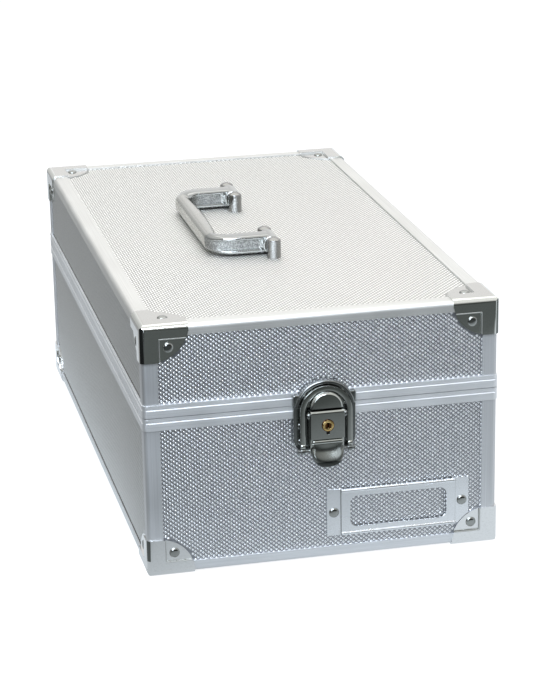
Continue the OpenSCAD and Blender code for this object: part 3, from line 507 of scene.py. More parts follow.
def finished(name, bm, node, finishes, crisp=35):
    """A piece that stands for a node and rides on its body, with crisp edges above an angle in degrees."""
    mesh = mesh_of(bm, name)
    bm.free()
    mesh.shade_smooth()
    mesh.set_sharp_from_angle(angle=math.radians(crisp))
    for finish in finishes:
        mesh.materials.append(finish)
    piece = put(name, mesh)
    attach(piece, BODY_OF[node])
    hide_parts(node)
    flat = piece.modifiers.new("flat faces stay flat", "WEIGHTED_NORMAL")
    flat.keep_sharp = True
    print(name, "faces:", len(mesh.polygons))


# %% [markdown]
# ## The dotted boards
#
# Each board is one slab whose face carries a lattice of small raised diamonds. One diamond is a four sided
# cone with its tip cut off, stretched a little. A second one sits half a step away, and two Array modifiers
# repeat the pair over the open field between the profiles. Diamonds that would lie under a corner cap are
# taken out.

# %% Dotted boards
DOT_STEP = (2.52 * MM, 2.80 * MM, 2.04 * MM)
DOT_SIZE, DOT_HEIGHT, DOT_SUNK = 1.62 * MM, 0.32 * MM, 0.04 * MM
DOT_TIP, DOT_CORNERS = 0.13, 8
POST_REACH, CAP_LOBE = 7.4 * MM, 17.0 * MM


def diamond(bm, foot, flat_axes, outward):
    """One raised dot on a board's face, without its hidden base."""
    made = bmesh.ops.create_cone(bm, cap_ends=True, segments=4, radius1=0.5, radius2=DOT_TIP,
                                 depth=1.0)["verts"]
    faces = {face for v in made for face in v.link_faces}
    bmesh.ops.delete(bm, geom=[face for face in faces if face.normal.z < -0.9], context="FACES")
    normal = 3 - sum(flat_axes)
    turn = Matrix((AXES[flat_axes[0]], AXES[flat_axes[1]], outward * AXES[normal])).transposed()
    size = Matrix.Diagonal((DOT_SIZE, DOT_SIZE, DOT_HEIGHT + DOT_SUNK))
    middle = foot + outward * AXES[normal] * (DOT_HEIGHT - DOT_SUNK) / 2
    bmesh.ops.transform(bm, matrix=Matrix.Translation(middle) @ (turn @ size).to_4x4(), verts=made)
    if turn.determinant() < 0:
        bmesh.ops.reverse_faces(bm, faces=list({face for v in made for face in v.link_faces}))


def repeat(bm, steps, counts):
    """Repeats a mesh along two axes by Array modifiers on a passing object."""
    mesh = mesh_of(bm, "cell")
    cell = put("cell", mesh)
    for step, count in zip(steps, counts):
        array = cell.modifiers.new("row", "ARRAY")
        array.use_relative_offset, array.use_constant_offset = False, True
        array.constant_offset_displace, array.count = step, count
    bpy.context.view_layer.update()
    field = bpy.data.meshes.new_from_object(cell.evaluated_get(bpy.context.evaluated_depsgraph_get()))
    bm.clear()
    bm.from_mesh(field)
    bpy.data.objects.remove(cell)
    for spare in (mesh, field):
        bpy.data.meshes.remove(spare)


print("dot steps in mm:", [round(step / MM, 2) for step in DOT_STEP])

# %% Where the dots are


def cap_shadows(flat_axes, board):
    """The lobes of the corner caps that lie over one board, as a corner, its inward signs and its reach."""
    middle = sum(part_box(board), Vector()) / 2
    normal = 3 - sum(flat_axes)
    for node in CAPS:
        low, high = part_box(node)
        cap_middle = (low + high) / 2
        same_half = node[:4] == board[:4]
        if same_half and abs(middle[normal] - cap_middle[normal]) < high[normal] - low[normal]:
            signs = [1 if middle[a] > cap_middle[a] else -1 for a in flat_axes]
            corner = [low[a] if sign > 0 else high[a] for a, sign in zip(flat_axes, signs)]
            yield corner, signs, [high[a] - low[a] for a in flat_axes]


def under_cap(point, flat_axes, caps):
    """Whether a point lies in the lobe of a cap, whose free corner is round."""
    for corner, signs, reach in caps:
        inward = [(point[a] - c) * sign for a, c, sign in zip(flat_axes, corner, signs)]
        past = [distance - (r - CAP_LOBE) for distance, r in zip(inward, reach)]
        if all(distance < r + DOT_SIZE for distance, r in zip(inward, reach)):
            if min(past) < 0 or math.hypot(*past) < CAP_LOBE + DOT_SIZE / 2:
                return True
    return False


def dotted_board(node, flat_axes, outward, field_low, field_high, finishes):
    """A board with raised dots on its outer face, between two corners of its open field."""
    low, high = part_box(node)
    normal = 3 - sum(flat_axes)
    steps = [DOT_STEP[a] for a in flat_axes]
    spans = [field_high[a] - field_low[a] for a in flat_axes]
    counts = [math.ceil(span / step) for span, step in zip(spans, steps)]
    first = Vector()
    first[normal] = high[normal] if outward > 0 else low[normal]
    for a, span, step, count in zip(flat_axes, spans, steps, counts):
        first[a] = field_low[a] + (span - (count - 0.5) * step) / 2
    rows = [step * AXES[a] for a, step in zip(flat_axes, steps)]
    bm = bmesh.new()
    diamond(bm, first, flat_axes, outward)
    diamond(bm, first + (rows[0] + rows[1]) / 2, flat_axes, outward)
    repeat(bm, rows, counts)
    bm.verts.ensure_lookup_table()
    caps = list(cap_shadows(flat_axes, node))
    covered = []
    for start in range(0, len(bm.verts), DOT_CORNERS):
        dot = bm.verts[start : start + DOT_CORNERS]
        if under_cap(sum((v.co for v in dot), Vector()) / DOT_CORNERS, flat_axes, caps):
            covered += dot
    bmesh.ops.delete(bm, geom=covered, context="VERTS")
    # The dots take the second finish, bright as a painted highlight.
    paint(bm, 1)
    print(node, "dots:", len(bm.verts) // DOT_CORNERS)
    slab = bmesh.ops.create_cube(bm, size=1.0)["verts"]
    size = Matrix.Diagonal(high - low).to_4x4()
    bmesh.ops.transform(bm, matrix=Matrix.Translation((low + high) / 2) @ size, verts=slab)
    finished("dotted_" + node, bm, node, finishes, crisp=75)


print("caps that can cover dots:", len(CAPS))

# %% Ten boards


def bottom_of(node):
    """The low corner of a node's box."""
    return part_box(node)[0]


def top_of(node):
    """The high corner of a node's box."""
    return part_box(node)[1]


# The front and back boards take the facing with painted highlight and shade; the side boards take its lit
# copy, painted light.
SIDES = (("front", (X, Z), -1, FRONT_FACING), ("back", (X, Z), 1, FRONT_FACING),
         ("left", (Y, Z), -1, LIT_FACING_SIDE), ("right", (Y, Z), 1, LIT_FACING_SIDE))
post_low, post_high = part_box("base_corner_posts")
levels = {
    "lid": (top_of("lid_rim_bar_front").z, bottom_of("lid_top_bar_front").z),
    "base": (top_of("base_floor_bar_front").z, bottom_of("base_rim_bar_front").z),
}
for half, (floor_level, roof_level) in levels.items():
    low = Vector((post_low.x + POST_REACH, post_low.y + POST_REACH, floor_level))
    high = Vector((post_high.x - POST_REACH, post_high.y - POST_REACH, roof_level))
    for side, flat_axes, outward, finishes in SIDES:
        dotted_board(half + "_" + side + "_panel", flat_axes, outward, low, high, finishes)
# The top and floor boards take the top's lit copy of the facing, painted light.
for board, bar, outward in (("lid_top_panel", "lid_top_bar", 1), ("base_floor_panel", "base_floor_bar", -1)):
    low = Vector((top_of(bar + "_left").x, top_of(bar + "_front").y, 0))
    high = Vector((bottom_of(bar + "_right").x, bottom_of(bar + "_back").y, 0))
    dotted_board(board, (X, Y), outward, low, high, LIT_FACING_TOP)

# %% [markdown]
# ## Softened metal
#
# The solids of the frame have knife edges, and real metal never has: its rounded edges are what catch the
# light. A copy of a solid is merged, its flat faces are joined, and its sharp edges are bevelled by a
# fraction of a millimetre. The copy then stands for the solid.
#
# The corner caps get more finishes than one, because polished sheet shows mostly what it mirrors, and here
# some of that is painted: the rolled upright edges in front carry a nearly black painted reflection, the left
# faces are painted pale as light, the tops are painted greyer as shade, and the steps carry a pale, rougher
# painted light. The base caps are a lighter chrome than the lid's, also painted light. Each of these is a
# test on a face's place and direction. The left base cap is cut level first, so that its dark painted edge
# can end above a bright foot.

# %% Softened copies


def merged_copy(node):
    """A node's loose triangles as one welded mesh with whole flat faces."""
    bm = bmesh.new()
    bm.from_mesh(NODES[node].data)
    bmesh.ops.remove_doubles(bm, verts=bm.verts, dist=0.002 * MM)
    bmesh.ops.dissolve_limit(bm, angle_limit=math.radians(0.5), use_dissolve_boundaries=False,
                             verts=bm.verts, edges=bm.edges, delimit={"NORMAL"})
    return bm


def bevelled(bm, edges, radius, segments=3, clamp=False):
    """Rounds some edges and gives back the new faces."""
    return bmesh.ops.bevel(bm, geom=list(edges), offset=radius, offset_type="OFFSET", affect="EDGES",
                           segments=segments, profile=0.5, material=-1, clamp_overlap=clamp)["faces"]


def soften(bm, radius, segments=2, sharpest=32):
    """Rounds every edge that turns by more than the sharpest angle allowed."""
    sharp = [e for e in bm.edges if len(e.link_faces) == 2 and e.calc_face_angle() > math.radians(sharpest)]
    bevelled(bm, sharp, radius, segments, clamp=True)


def cut_level(bm, height, drop_below=False):
    """Cuts a mesh at a height. What is below it can go, and then the cut is closed."""
    cut = bmesh.ops.bisect_plane(bm, geom=bm.verts[:] + bm.edges[:] + bm.faces[:], plane_co=(0, 0, height),
                                 plane_no=(0, 0, 1), clear_inner=drop_below)["geom_cut"]
    if drop_below:
        bmesh.ops.holes_fill(bm, edges=[g for g in cut if isinstance(g, bmesh.types.BMEdge)])


def softened(node, radius, finish, *painted, cut_at=None):
    """A softened copy of a node; `painted` holds pairs of a finish and the test that chooses its faces."""
    bm = merged_copy(node)
    soften(bm, radius)
    if cut_at:
        cut_level(bm, cut_at)
    for index, (_, chosen) in enumerate(painted, 1):
        paint(bm, index, chosen)
    finished("soft_" + node, bm, node, [finish] + [other for other, _ in painted], crisp=28)


print("softening helpers ready")

# %% Profiles, caps, plates and leaves
# Limits for places, in mm: the caps' faces, the steps of their tops, and the steps of the label holder.
CAP_FRONT, CAP_SIDE, LEFT_SIDE, LID_CAPS_FROM, CAP_MIRROR_FROM = -150, 82, -80, 100, 8.0
LID_TOP, STEP_TOP, STEP_HALF_X, STEP_MIDDLE_Y, STEP_HALF_Y = 122, 122.2, 81, 3.2, 153
LABEL_MIDDLE, LABEL_STEP = 36.3, 28.2


# Faces of the caps' rolled upright edges in front, which carry a nearly black painted reflection.
def on_upright_edge(at, normal):
    """The rolled upright edge of a front cap: in the lid, and above the foot of the left base cap."""
    at_front_corner = at.y < CAP_FRONT and abs(at.x) > CAP_SIDE
    dark = at.z > LID_CAPS_FROM or (at.x < 0 and at.z > CAP_MIRROR_FROM)
    return at_front_corner and dark and abs(normal.x) > 0.45 and normal.y < -0.35 and abs(normal.z) < 0.35


# The caps' left faces, painted pale as light.
def on_left_face(at, normal):
    return normal.x < -0.9 and at.x < LEFT_SIDE


# The lid caps' tops, painted greyer as shade.
def on_lid_top(at, normal):
    return normal.z > 0.97 and at.z > LID_TOP


# The caps' steps, painted pale as light in place of the dark room they mirror.
def on_top_step(at, normal):
    """The slope where a cap steps down from the profiles to the lid's board."""
    in_field = abs(at.x) < STEP_HALF_X and abs(at.y - STEP_MIDDLE_Y) < STEP_HALF_Y
    return in_field and at.z > STEP_TOP and normal.z < 0.9


# The label holder's steps, painted dark as shade.
def on_label_step(at, normal):
    return abs(normal.x) > 0.3 and abs(abs(at.x - LABEL_MIDDLE) - LABEL_STEP) < 1.0


for node in NODES:
    if "_bar_" in node:
        along = "x" if node.endswith(("front", "back")) else "y"
        # The top bars take the copy with painted shade, and the rims the copy with painted light.
        profiles = PROFILE_TOP_SHADED if "_top_bar_" in node else PROFILE_RIM_LIT if "_rim_bar_" in node else PROFILE
        softened(node, 0.12 * MM, profiles[along])
    elif node.endswith("corner_posts"):
        # The posts take the copy with painted shade.
        softened(node, 0.15 * MM, PROFILE_POST_SHADED)
    elif node in CAPS:
        # The base caps take a lighter chrome as painted light; the chosen faces carry painted reflection,
        # light and shade.
        softened(node, 0.4 * MM, CAP_CHROME if node.startswith("lid") else LOW_CAP_PAINTED_LIGHT,
                 (EDGE_PAINTED_REFLECTION, on_upright_edge), (SIDE_CAP_PAINTED_LIGHT, on_left_face), (TOP_CAP_PAINTED_SHADE, on_lid_top),
                 (STEP_PAINTED_LIGHT, on_top_step), cut_at=CAP_MIRROR_FROM * MM)
# The latch plate is all in the chrome with painted shade.
softened("latch_plate", 0.45 * MM, LATCH_PAINTED_SHADE)
softened("label_holder", 0.25 * MM, LABEL_STEEL, (LATCH_PAINTED_SHADE, on_label_step))
for node in ("hinge_base_leaves", "hinge_lid_leaves"):
    softened(node, 0.2 * MM, HINGE_STEEL)

# %% [markdown]
# ## The handle
#
# The bail is a casting with two kinds of section. Its arms are I-shaped: polished flanges above and below,
# and a sunken rough web between them. Its grip is a rounded bar that swells towards the palm, with one soft
# crease along its top. Both sections are drawn with the same number of points, so a ring of points can turn
# smoothly from one into the other round each bend, and `bridge_loops` joins ring to ring.

# %% Handle sections
PIVOT = Vector((0, 3.225, 127.5)) * MM
ARM_HALF_GAP, HANDLE_REACH, BEND_R, BEND_STEPS, GRIP_STEPS = 47.0, 32.0, 14.0, 9, 12
ARM_WIDTH, GRIP_WIDTH, GRIP_SWELL, HANDLE_HALF_H = 9.0, 7.5, 1.5, 4.7
ARM_QUARTER = ((4.5, 4.7), (1.4, 4.7), (0.45, 4.4), (0.0, 3.6), (0.0, 2.9), (0.4, 2.5), (1.9, 2.3),
               (2.1, 0.0))
GRIP_OUTER = ((3.7, 4.70), (2.7, 4.55), (2.3, 4.15), (1.7, 4.0), (0.8, 3.4), (0.25, 2.4), (0.0, 1.2),
              (0.0, 0.0))
GRIP_INNER = ((3.7, 4.50), (2.7, 4.20), (1.6, 3.6), (0.85, 2.9), (0.35, 2.1), (0.1, 1.4), (0.0, 0.8),
              (0.0, 0.0))


def smooth(share):
    """Eases a share from 0 to 1 at both of its ends."""
    share = min(1.0, max(0.0, share))
    return share * share * (3 - 2 * share)


def handle_section(grip, swell):
    """Points of [inwards from the outer edge, up] round a section: the arm at grip 0, the grip at 1."""
    width = ARM_WIDTH + (GRIP_WIDTH + swell - ARM_WIDTH) * grip
    outer, inner = ([[a + (b - a) * grip for a, b in zip(*pair)] for pair in zip(ARM_QUARTER, quarter)]
                    for quarter in (GRIP_OUTER, GRIP_INNER))
    down = outer + [[u, -w] for u, w in reversed(outer[:-1])]
    up = [[width - u, w] for u, w in inner[1:] + [[u, -w] for u, w in reversed(inner[1:-1])]]
    return down + up[::-1]


def bend_stations(corner, start, grip_from, grip_to):
    """A quarter turn from a start angle, over which one section eases into the other."""
    for i in range(1, BEND_STEPS + 1):
        turn = math.radians(start - 90 * i / BEND_STEPS)
        out = Vector((math.cos(turn), math.sin(turn)))
        yield corner + BEND_R * out, out, smooth(grip_from + (grip_to - grip_from) * i / BEND_STEPS), 0.0


def handle_stations():
    """Places along the bail's outer edge: a point, the way outwards, the share of grip, and the swell."""
    corner = Vector((BEND_R - HANDLE_REACH, ARM_WIDTH / 2 + ARM_HALF_GAP - BEND_R))
    arm = (-1.0, -6.0, -12.0, corner.x + 0.5)
    for x in arm:
        yield Vector((x, -corner.y - BEND_R)), Vector((0, -1)), 0.0, 0.0
    yield from bend_stations(Vector((corner.x, -corner.y)), 270, 0, 1)
    for i in range(1, GRIP_STEPS + 1):
        y = corner.y * (2 * i / GRIP_STEPS - 1)
        yield Vector((-HANDLE_REACH, y)), Vector((-1, 0)), 1.0, GRIP_SWELL * (1 - (y / corner.y) ** 2)
    yield from bend_stations(corner, 180, 1, 0)
    for x in reversed(arm):
        yield Vector((x, corner.y + BEND_R)), Vector((0, 1)), 0.0, 0.0


print("stations along the bail:", len(list(handle_stations())))

# %% Tubes and turned forms


def turned_to(axis):
    """The turn that brings +Z to another axis."""
    return AXES[Z].rotation_difference(Vector(axis)).to_matrix().to_4x4()


def bridged(bm, rings):
    """Joins rings of points, each a closed loop, into one tube with closed ends."""
    loops = []
    for ring in rings:
        corners = [bm.verts.new(point) for point in ring]
        loops.append([bm.edges.new(pair) for pair in zip(corners, corners[1:] + corners[:1])])
    for first, second in zip(loops, loops[1:]):
        bmesh.ops.bridge_loops(bm, edges=first + second)
    for loop in (loops[0], loops[-1]):
        bmesh.ops.edgeloop_fill(bm, edges=loop)
    bmesh.ops.recalc_face_normals(bm, faces=bm.faces)


def cylinder(bm, centre, axis, radius, length, segments=40, soft=0.0):
    """A closed cylinder about an axis, with its two rims rounded where soft is given."""
    made = bmesh.ops.create_cone(bm, cap_ends=True, segments=segments, radius1=radius, radius2=radius,
                                 depth=length)["verts"]
    if soft:
        rims = {e for v in made for e in v.link_edges if abs(e.verts[0].co.z - e.verts[1].co.z) < length / 2}
        rounded = bevelled(bm, rims, soft)
        made = list({v for face in rounded for v in face.verts} | {v for v in made if v.is_valid})
    bmesh.ops.transform(bm, matrix=Matrix.Translation(centre) @ turned_to(axis), verts=made)


def spun(bm, outline, centre, axis, steps):
    """Spins a row of points about an axis into a round form."""
    points = [bm.verts.new(point) for point in outline]
    edges = [bm.edges.new(pair) for pair in zip(points, points[1:])]
    bmesh.ops.spin(bm, geom=points + edges, cent=centre, axis=axis, angle=2 * math.pi, steps=steps,
                   use_merge=True)
    bmesh.ops.remove_doubles(bm, verts=bm.verts, dist=0.001 * MM)
    bmesh.ops.recalc_face_normals(bm, faces=bm.faces)


def turned_pieces(outline, places, steps):
    """The same turned solid, drawn in mm as [radius, height], at places that are given as matrices."""
    bm = bmesh.new()
    spun(bm, [(r * MM, 0, h * MM) for r, h in outline], (0, 0, 0), AXES[Z], steps)
    one = mesh_of(bm, "one")
    bm.clear()
    for matrix in places:
        before = set(bm.verts)
        bm.from_mesh(one)
        bmesh.ops.transform(bm, matrix=matrix, verts=[v for v in bm.verts if v not in before])
    bpy.data.meshes.remove(one)
    return bm


# %% Bail
BARREL_SIDE, BARREL_SOFT, WEB_HALF_H, WEB_FROM = 2.6, 0.7, 2.3, -5.5
GRIP_FROM = ARM_HALF_GAP - BEND_R / 2
pivot = PIVOT / MM
bail = bmesh.new()
bridged(bail, [[(pivot + Vector((point.x - out.x * u, point.y - out.y * u, w))) * MM
                for u, w in handle_section(grip, swell)] for point, out, grip, swell in handle_stations()])
paint(bail, 1, lambda at, normal: abs(at.z - pivot.z) < WEB_HALF_H and at.x < WEB_FROM)
paint(bail, 2, lambda at, normal: abs(at.y - pivot.y) < GRIP_FROM and at.x < -HANDLE_REACH / 2)
for side in (-1, 1):
    cylinder(bail, PIVOT + side * ARM_HALF_GAP * MM * AXES[Y], AXES[Y], HANDLE_HALF_H * MM,
             (ARM_WIDTH + 2 * BARREL_SIDE) * MM, soft=BARREL_SOFT * MM)
finished("handle_bail_cast", bail, "handle_bail", (HANDLE_CHROME, WEB_STEEL, SATIN_GRIP), crisp=50)

# %% Posts
POST_OFF, LID_FACE = 10.9, 122.1
POST = ((0, 0), (3.5, 0), (3.5, 8.9), (3.38, 9.25), (3.1, 9.5), (1.9, 10.1), (0.9, 10.45), (0, 10.6))
post_places = [Matrix.Translation(Vector((0, pivot.y + side * ARM_HALF_GAP + off * POST_OFF, LID_FACE)) * MM)
               for side in (-1, 1) for off in (-1, 1)]
posts = turned_pieces(POST, post_places, 32)
finished("handle_posts_turned", posts, "handle_posts", (POST_STEEL,), crisp=40)

# %% [markdown]
# ## Dark seams on the sides
#
# Where a side board meets its long profiles there is a fine gap full of shadow and grime. In a picture it
# reads as a dark line, so it is a thin dark bead that lies in the corner between board and profile.

# %% Seams
SEAM_R, SEAM_OUT, SEAM_IN = 0.32 * MM, 0.1 * MM, 0.2 * MM
seam_middle, seam_length = (post_low.y + post_high.y) / 2, post_high.y - post_low.y - 2 * POST_REACH
for half, heights in levels.items():
    for side, outward in (("left", -1), ("right", 1)):
        board = half + "_" + side + "_panel"
        face = (bottom_of(board) if outward < 0 else top_of(board)).x
        seams = bmesh.new()
        for height, inward in zip(heights, (1, -1)):
            middle = Vector((face + outward * SEAM_OUT, seam_middle, height + inward * SEAM_IN))
            cylinder(seams, middle, AXES[Y], SEAM_R, seam_length, 10)
        finished("seams_" + board, seams, board, (SEAM_DARK,))

# %% [markdown]
# ## Ridges on the corner caps
#
# A cap is pressed over the profiles and steps down to the board. The press leaves a fine ridge along that
# step, in an L on the faces at the front and the back. Each ridge is a thin cylinder that is half sunk in
# the face.

# %% Pressed ridges
RIDGE_R, RIDGE_PROUD, CAP_SHEET, BAR_DROP = 0.27 * MM, 0.2 * MM, 0.8 * MM, 5.4 * MM

for node in CAPS:
    low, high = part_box(node)
    inward = Vector((1 if low.x < 0 else -1, 1 if low.y < 0 else -1, -1 if node.startswith("lid") else 1))
    outer = Vector([near if way > 0 else far for near, far, way in zip(low, high, inward)])
    step = (POST_REACH + 2 * CAP_SHEET, 0, BAR_DROP + 2 * CAP_SHEET)
    lobe = [size - CAP_LOBE for size in high - low]
    corner = outer + Vector([way * distance for way, distance in zip(inward, step)])
    corner.y = outer.y + inward.y * (RIDGE_R - RIDGE_PROUD)
    ridges = bmesh.new()
    for axis, other in ((X, Z), (Z, X)):
        reach = lobe[axis] + math.sqrt(CAP_LOBE ** 2 - (step[other] - lobe[other]) ** 2) - RIDGE_R
        end = corner.copy()
        end[axis] = outer[axis] + inward[axis] * reach
        cylinder(ridges, (corner + end) / 2, (end - corner).normalized(), RIDGE_R, (end - corner).length, 10)
    finished("ridges_" + node, ridges, node, (RUBBED_EDGE,))

# %% [markdown]
# ## Rivets
#
# A set rivet has a button head: nearly flat on top, steep at its rim, with a thin dark seam where it meets
# the sheet. A short outline is spun once, and copies of it are turned to face out of each sheet. The
# middles and the directions come from the solids of the frame, one rivet at a time.

# %% Button heads
CASE_MIDDLE = sum((Vector(corner) for corner in cad_box), Vector()) / 2
SHANK_R = 1.3 * MM
HEAD = ((0.0, 0.94), (0.9, 0.90), (1.6, 0.78), (2.1, 0.55), (2.42, 0.26), (2.5, 0.0), (2.5, -0.2))


def loose_parts(bm):
    """The separate shells of a mesh, each as a set of its points."""
    left = set(bm.verts)
    while left:
        part, waiting = set(), [left.pop()]
        while waiting:
            corner = waiting.pop()
            part.add(corner)
            joined = {edge.other_vert(corner) for edge in corner.link_edges} & left
            left -= joined
            waiting += joined
        yield part


def button_heads(node, scale):
    """Spun heads in the places of a node's rivets, each facing out of its sheet."""
    source = merged_copy(node)
    places = []
    for part in loose_parts(source):
        low, high = (Vector([pick(v.co[a] for v in part) for a in range(3)]) for pick in (min, max))
        middle, size = (low + high) / 2, high - low
        axis = min(range(3), key=lambda a: abs(size[a - 1] - size[a - 2]))
        way = 1 if middle[axis] > CASE_MIDDLE[axis] else -1
        flat_axes = [a for a in range(3) if a != axis]
        rim = [v.co[axis] for v in part if max(abs(v.co[a] - middle[a]) for a in flat_axes) > SHANK_R]
        middle[axis] = min(rim) if way > 0 else max(rim)
        places.append(Matrix.Translation(middle) @ turned_to(way * AXES[axis]))
    source.free()
    print(node, "heads:", len(places))
    heads = turned_pieces([(r * scale, h * scale) for r, h in HEAD], places, 28)
    finished(node + "_heads", heads, node, (RIVET_STEEL,), crisp=80)


for node, scale in (("lid_cap_rivets", 1.0), ("base_cap_rivets", 1.0), ("label_rivets", 1.0),
                    ("hinge_base_rivets", 0.7), ("hinge_lid_rivets", 0.7)):
    button_heads(node, scale)

# %% [markdown]
# ## The draw latch
#
# The latch is four chromed pieces. The catch on the lid is a raised arch with a chamfered boss inside it.
# The loop is a flat strip bent round the same arch. The lever is a folded sheet that ends in a dished
# finger tab, and the key plug sits in its face. Round forms are spun about an axis that comes out of the
# front and then cut off level with `bisect_plane`. The tab is a grid whose points are lifted into a dish
# with rolled edges.
# The darker finishes on the plate, the hood, the loop's eyes, the tab, its lip, the keyway and the plug are
# painted shade.

# %% Places on the front
FRONT_FACE, SPLIT = -154.275, 78.95
ARCH_UP, CATCH_UP, ARCH_STEPS = -2.2, 0.35, 72


def on_front(x, out, up):
    """A place on the front in mm: across, out from the profiles, and up from the split below the lid."""
    return Vector((x, FRONT_FACE - out, SPLIT + up)) * MM


def arc(centre, radius, start, stop, steps):
    """Points of a flat arc between two angles in degrees."""
    turns = [math.radians(start + (stop - start) * i / steps) for i in range(steps + 1)]
    return [(centre[0] + radius * math.cos(t), centre[1] + radius * math.sin(t)) for t in turns]


def plate(bm, outline, through, soft=0.0):
    """A sheet: a closed outline pushed through its thickness, with the edges of the far face rounded."""
    face = bm.faces.new([bm.verts.new(point) for point in outline])
    grown = bmesh.ops.extrude_face_region(bm, geom=[face])["geom"]
    far_face = next(g for g in grown if isinstance(g, bmesh.types.BMFace))
    bmesh.ops.translate(bm, vec=through, verts=far_face.verts)
    made = {f for v in list(face.verts) + list(far_face.verts) for f in v.link_faces}
    bmesh.ops.recalc_face_normals(bm, faces=list(made))
    if soft:
        bevelled(bm, far_face.edges, soft)


def spun_arch(bm, outline, up, cut_up):
    """Spins an outline of [radius, out] about an axis out of the front, and cuts it off level."""
    arch = bmesh.new()
    points = [on_front(radius, out, up) for radius, out in outline]
    spun(arch, points, on_front(0, 0, up), AXES[Y], ARCH_STEPS)
    cut_level(arch, on_front(0, 0, cut_up).z, drop_below=True)
    bmesh.ops.recalc_face_normals(arch, faces=arch.faces)
    add_mesh(bm, arch)


def paint_front(bm, material, chosen):
    """The same as paint for the latch, with a place given as across, out and up."""
    paint(bm, material, lambda at, normal: chosen(at.x, FRONT_FACE - at.y, at.z - SPLIT))


print("front helpers ready")

# %% Catch
HOOD = ((12.95, -1.0), (12.95, 3.9), (13.05, 4.12), (13.25, 4.2), (13.9, 4.2), (14.2, 4.1), (14.5, 3.85),
        (14.72, 3.4), (14.8, 2.8), (14.8, -1.0), (12.95, -1.0))
CORE = ((0.0, 5.0), (9.1, 5.0), (9.5, 4.8), (9.65, 4.4), (9.65, 0.52), (0.0, 0.52))
BOSS = ((0.0, 8.0), (6.7, 8.0), (7.1, 7.9), (7.6, 7.45), (7.95, 6.8), (8.1, 6.15), (8.15, 5.8), (8.15, 5.02),
        (0.0, 5.02))
BACK = ((0.0, 1.5), (13.2, 1.5), (13.2, 0.52), (0.0, 0.52))
FOOT = ((12.95, CATCH_UP), (15.2, CATCH_UP), (15.2, 5.0), *arc((14.2, 5.0), 1.0, 0, 90, 4)[1:], (12.2, 6.0),
        (12.2, 4.4))
BOSS_UP, BOSS_CUT, FOOT_OUT, FOOT_THICK, PALE_TO = -0.25, 0.05, 0.52, 2.9, 9.7
catch = bmesh.new()
for outline, up, cut_up in ((HOOD, ARCH_UP, CATCH_UP), (CORE, ARCH_UP, CATCH_UP), (BOSS, BOSS_UP, BOSS_CUT),
                            (BACK, ARCH_UP, CATCH_UP)):
    spun_arch(catch, outline, up, cut_up)
for side in (-1, 1):
    plate(catch, [on_front(side * x, FOOT_OUT, up) for x, up in FOOT], (0, -FOOT_THICK * MM, 0), 0.8 * MM)
# The hood, its feet and the back beyond this radius take painted shade; the core and the boss stay bright.
paint_front(catch, 1, lambda x, out, up: math.hypot(x, up - ARCH_UP) > PALE_TO)
finished("latch_catch_pressed", catch, "latch_catch", (LATCH_CHROME, LATCH_PAINTED_SHADE), crisp=28)

# %% Loop
LOOP_R, LOOP_W, LOOP_BACK, LOOP_T, EASE = 12.6, 2.6, 4.0, 2.2, 0.5
PIVOT_UP, LEG_END, EYE_DARK_FROM = -21.3, -18.6, -19.9
LEG = (LEG_END, -14.0, -8.0)
BOLT_OUT, BOLT_R, BOLT_WIDTH, EYE_OUT, EYE_R, EYE_WIDTH, TAIL_THICK = 5.6, 1.25, 2.3, 5.1, 1.6, 2.0, 1.9
LOOP_RING = ((0, EASE), (0, LOOP_T - EASE), (0.12, LOOP_T - 0.15), (EASE, LOOP_T), (LOOP_W - EASE, LOOP_T),
             (LOOP_W - 0.12, LOOP_T - 0.15), (LOOP_W, LOOP_T - EASE), (LOOP_W, EASE), (LOOP_W - EASE, 0),
             (EASE, 0))
EYE_TAIL = ((1.0, LEG_END), *arc((0.0, PIVOT_UP), 1.0, 0, -180, 10), (-1.0, LEG_END))
stations = [(Vector((-1, 0)), -LOOP_R, up) for up in LEG]
stations += [(Vector(way), LOOP_R * way[0], ARCH_UP + LOOP_R * way[1])
             for way in arc((0, 0), 1.0, 180, 0, 36)]
stations += [(Vector((1, 0)), LOOP_R, up) for up in reversed(LEG)]
loop = bmesh.new()
bridged(loop, [[on_front(x - way.x * u, LOOP_BACK + w, up - way.y * u) for u, w in LOOP_RING]
               for way, x, up in stations])
for side in (-1, 1):
    middle = side * (LOOP_R - LOOP_W / 2)
    cylinder(loop, on_front(middle, BOLT_OUT, LEG_END), AXES[X], BOLT_R * MM, BOLT_WIDTH * MM, 24, 0.5 * MM)
    tail = [on_front(middle + x, LOOP_BACK, up) for x, up in EYE_TAIL]
    plate(loop, tail, (0, -TAIL_THICK * MM, 0), 0.3 * MM)
    cylinder(loop, on_front(middle, EYE_OUT, PIVOT_UP), AXES[X], EYE_R * MM, EYE_WIDTH * MM, 24, 0.35 * MM)
# The loop's eyes and tails behind the tab take painted shade.
paint_front(loop, 1, lambda x, out, up: up < EYE_DARK_FROM)
finished("latch_loop_bent", loop, "latch_loop", (LATCH_CHROME, LATCH_PAINTED_SHADE), crisp=28)

# %% Finger tab
TAB_TOP, TAB_ROUND, TAB_LOW, TAB_FLARED, LIP_FROM = -17.0, -21.6, -29.0, -27.5, -25.3
TAB_HALF, TAB_WAIST, WAIST_TO, TAB_SHEET = 7.6, 0.8, 0.7, 0.9
TAB_ROOT_OUT, TAB_OUT, TAB_DISH, DISH_RUN = 8.6, 12.4, 1.0, 4.0
SIDE_EASE, LIP_EASE, LIP_SHARE = 0.8, 4.4, 0.8
TAB_ACROSS, TAB_DOWN, TAB_SQUARE, LINES_TO_LIP = 24, 26, 2.4, 1.3


def rolled(inset, radius):
    """How far a rolled edge of some radius has dropped at a distance in from the edge."""
    return radius - math.sqrt(radius ** 2 - max(0.0, radius - max(0.0, inset)) ** 2)


